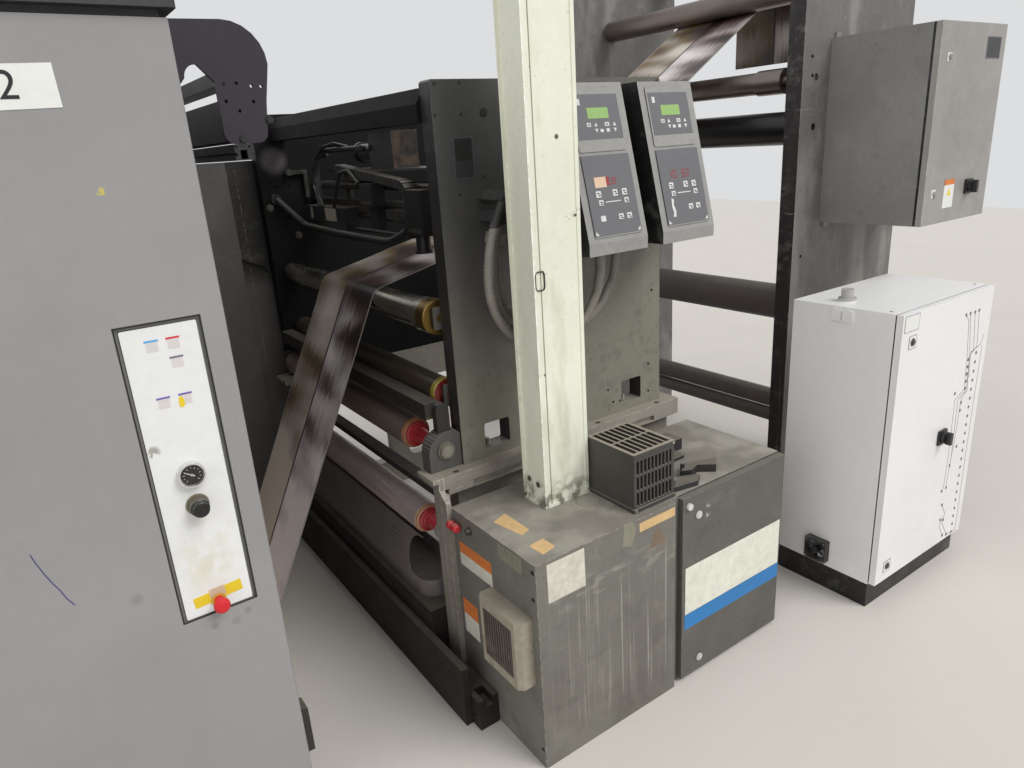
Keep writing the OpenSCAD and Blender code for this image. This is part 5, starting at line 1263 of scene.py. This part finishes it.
# %% Hose and leads
HOSE = [(993, 1364, 1532), (1010, 1353, 1510), (1046, 1333, 1464), (1078, 1315, 1424), (1088, 1290, 1413),
        (1096, 1150, 1406), (1098, 1000, 1401), (1098, 760, 1398), (1098, 560, 1397), (1098, 500, 1402),
        (1102, 440, 1420), (1106, 388, 1440)]
LEADS = [
    [(1150, 1120, 1700), (1128, 1180, 1690), (1120, 1226, 1640), (1118, 1234, 1580), (1116, 1200, 1530),
     (1112, 1180, 1502)],
    [(1150, 900, 1722), (1128, 980, 1738), (1118, 1080, 1728), (1112, 1150, 1690), (1108, 1176, 1620),
     (1106, 1160, 1540), (1104, 1120, 1500)],
    [(1112, 760, 1592), (1106, 830, 1640), (1104, 900, 1632), (1102, 960, 1560), (1102, 1000, 1500)]]
sleeve_on("hose_sleeve_0", HOSE, 14.6, 0.05, 9, cable_black)
for i, way in enumerate(LEADS):
    sleeve_on(f"head_cable_{i}", way, 7, 0.0, 30, cable_black)
print("leads at the heads", len(LEADS))

# %% [markdown]
# ## Links of the cable chain
#
# The chain that feeds the camera heads is a row of plastic links. A cube stands on every step of the route, turned
# so that its shortest side follows the way, and the drawing's smooth band stays as the cables inside.

# %% The chain tree
chain, given = new_tree("chain", [("Link", "Vector"), ("Pitch", "Float"), ("Material", "Material")])
route = put(chain, "GeometryNodeMeshToCurve", Mesh=given["Geometry"])
route = put(chain, "GeometryNodeResampleCurve", {"mode": "LENGTH"}, Curve=route, Length=given["Pitch"])
heading = put(chain, "GeometryNodeInputTangent")
facing = put(chain, "FunctionNodeAxesToRotation", {"primary_axis": "Z", "secondary_axis": "X"},
             Primary_Axis=heading, Secondary_Axis=(1.0, 0.0, 0.0))
link = put(chain, "GeometryNodeMeshCube", Size=given["Link"])
laid = put(chain, "GeometryNodeInstanceOnPoints", Points=route, Instance=link, Rotation=facing)
finish_tree(chain, laid, given)
print("chain tree nodes", len(chain.nodes))

# %% Chain links
chain_grey = enamel("chain_grey", (58, 56, 54), clouds=0.8, rough=0.45, dust=0.5, seed=34)
CHAIN_X, CHAIN_Y, CHAIN_Z, CHAIN_R = 1141.0, 458.0, 1540.0, 52.0
chain_bend = [(CHAIN_X, CHAIN_Y + CHAIN_R * cos(radians(a)), CHAIN_Z + CHAIN_R * sin(radians(a)))
              for a in range(97, 271, 8)]
chain_way = [(CHAIN_X, 976, 1646)] + chain_bend + [(CHAIN_X, 560, CHAIN_Z - CHAIN_R)]
links = grow("chain_links", points_mesh("route", chain_way, True), chain,
             {"Link": (0.044, 0.029, 0.013), "Pitch": 0.020, "Material": chain_grey}, "base")
print("chain faces", len(links.data.polygons))

# %% [markdown]
# ## Camera details
#
# The camera boxes sit in the dark between the plates, where only bright edges catch light. Pale bare labels and
# small metal plates are put on them there, and they also stand as painted highlights of those edges. A thin strip
# of brass shows further down.

# %% Camera details
pale_label_highlight = plain("pale_label_highlight", (150, 142, 126), clouds=1.0, grain=0.8, seed=38)
brass_strip = bare_metal("brass_strip", (150, 122, 78), rough=0.3, lines="x")
# Pale labels and metal plates, which are also painted highlights of lit edges.
labels = [rect(985, 1446, 1098, 1496), rect(1240, 1450, 1262, 1494)]
plates = [rect(292, 1440, 384, 1452), rect(652, 1520, 738, 1530)]
lay(left(1100), "base", ("camera_label_highlight", pale_label_highlight, 0.8, labels))
lay(left(1108), "base", ("camera_plate_highlights", bolt_steel, 1.0, plates))
lay(front(40), "base", ("brass_strip", brass_strip, 0.5, [rect(930, 918, 970, 922)]))
print("pieces so far", len(PIECES))

# %% [markdown]
# ## The surrounding
#
# A hall lights a machine from its whole ceiling and walls, so a pale surrounding fills every
# shadow. What the camera sees behind the press, and what its metal mirrors, is a backdrop of its
# own that adds no light to the paint.

# %% World
scene = bpy.context.scene
scene.view_settings.view_transform = "Standard"
world = bpy.data.worlds.new("studio")
scene.world = world
world.use_nodes = True
sky = world.node_tree
rays = put(sky, "ShaderNodeLightPath").socket.node
camera_ray, glossy_ray, clear_ray = (Wire(sky, rays.outputs[f"Is {kind} Ray"])
                                     for kind in ("Camera", "Glossy", "Transmission"))
seen = (camera_ray + glossy_ray + clear_ray).clamp()
ambient = put(sky, "ShaderNodeBackground", Color=(0.90, 0.93, 0.96), Strength=0.70)
backdrop = put(sky, "ShaderNodeBackground", Color=(0.72, 0.73, 0.74), Strength=1.0)
both = put(sky, "ShaderNodeMixShader", i0=seen, i1=ambient, i2=backdrop)
sky.links.new(both.socket, sky.nodes["World Output"].inputs["Surface"])
print("world nodes", len(sky.nodes))

# %% [markdown]
# ## Lamps
#
# Two sun lamps with wide discs stand for rows of lamps: a strong one high on the operator's side,
# and a weak one low from the unit's end, which keeps the side faces from going black. Only the
# direction of a sun counts, wherever it stands, and its wide disc makes the shadows soft.

# %% Lamps
def sun(name, energy, spread, toward, spot):
    """A sun lamp that shines from a direction; its disc is spread degrees wide."""
    data = bpy.data.lights.new(name, "SUN")
    data.energy, data.angle = energy, radians(spread)
    lamp = bpy.data.objects.new(name, data)
    turn = Vector(toward).to_track_quat("Z", "Y").to_matrix().to_4x4()
    lamp.matrix_world = Matrix.Translation(spot) @ turn
    scene.collection.objects.link(lamp)
    return data


LAMPS = [sun("hall", 2.0, 32, (0.35, -0.72, 0.85), (0, 0, 4)),
         sun("fill", 0.8, 60, (-0.85, -0.25, 0.45), (-4, 0, 3))]
print("lamp strengths", [round(lamp.energy, 2) for lamp in LAMPS])

# %% [markdown]
# ## Floor
#
# A plain pale floor catches the shadow of the press. It is part of the stage and not of the object.

# %% Floor
FLOOR_HALF = 14.0
floor_mesh = bpy.data.meshes.new("floor")
floor_mesh.from_pydata([(x * FLOOR_HALF, y * FLOOR_HALF, 0) for x, y in ((-1, -1), (1, -1), (1, 1), (-1, 1))],
                       [], [(0, 1, 2, 3)])
floor_mesh.materials.append(plain("floor_pale", (198, 192, 184), rough=0.75, clouds=0.15, grain=0.05))
floor = bpy.data.objects.new("floor", floor_mesh)
scene.collection.objects.link(floor)
print("floor", 2 * FLOOR_HALF, "m wide")

# %% [markdown]
# ## Count of pieces
#
# The number of added pieces is printed.

# %% Count of pieces
print("pieces", len(PIECES))
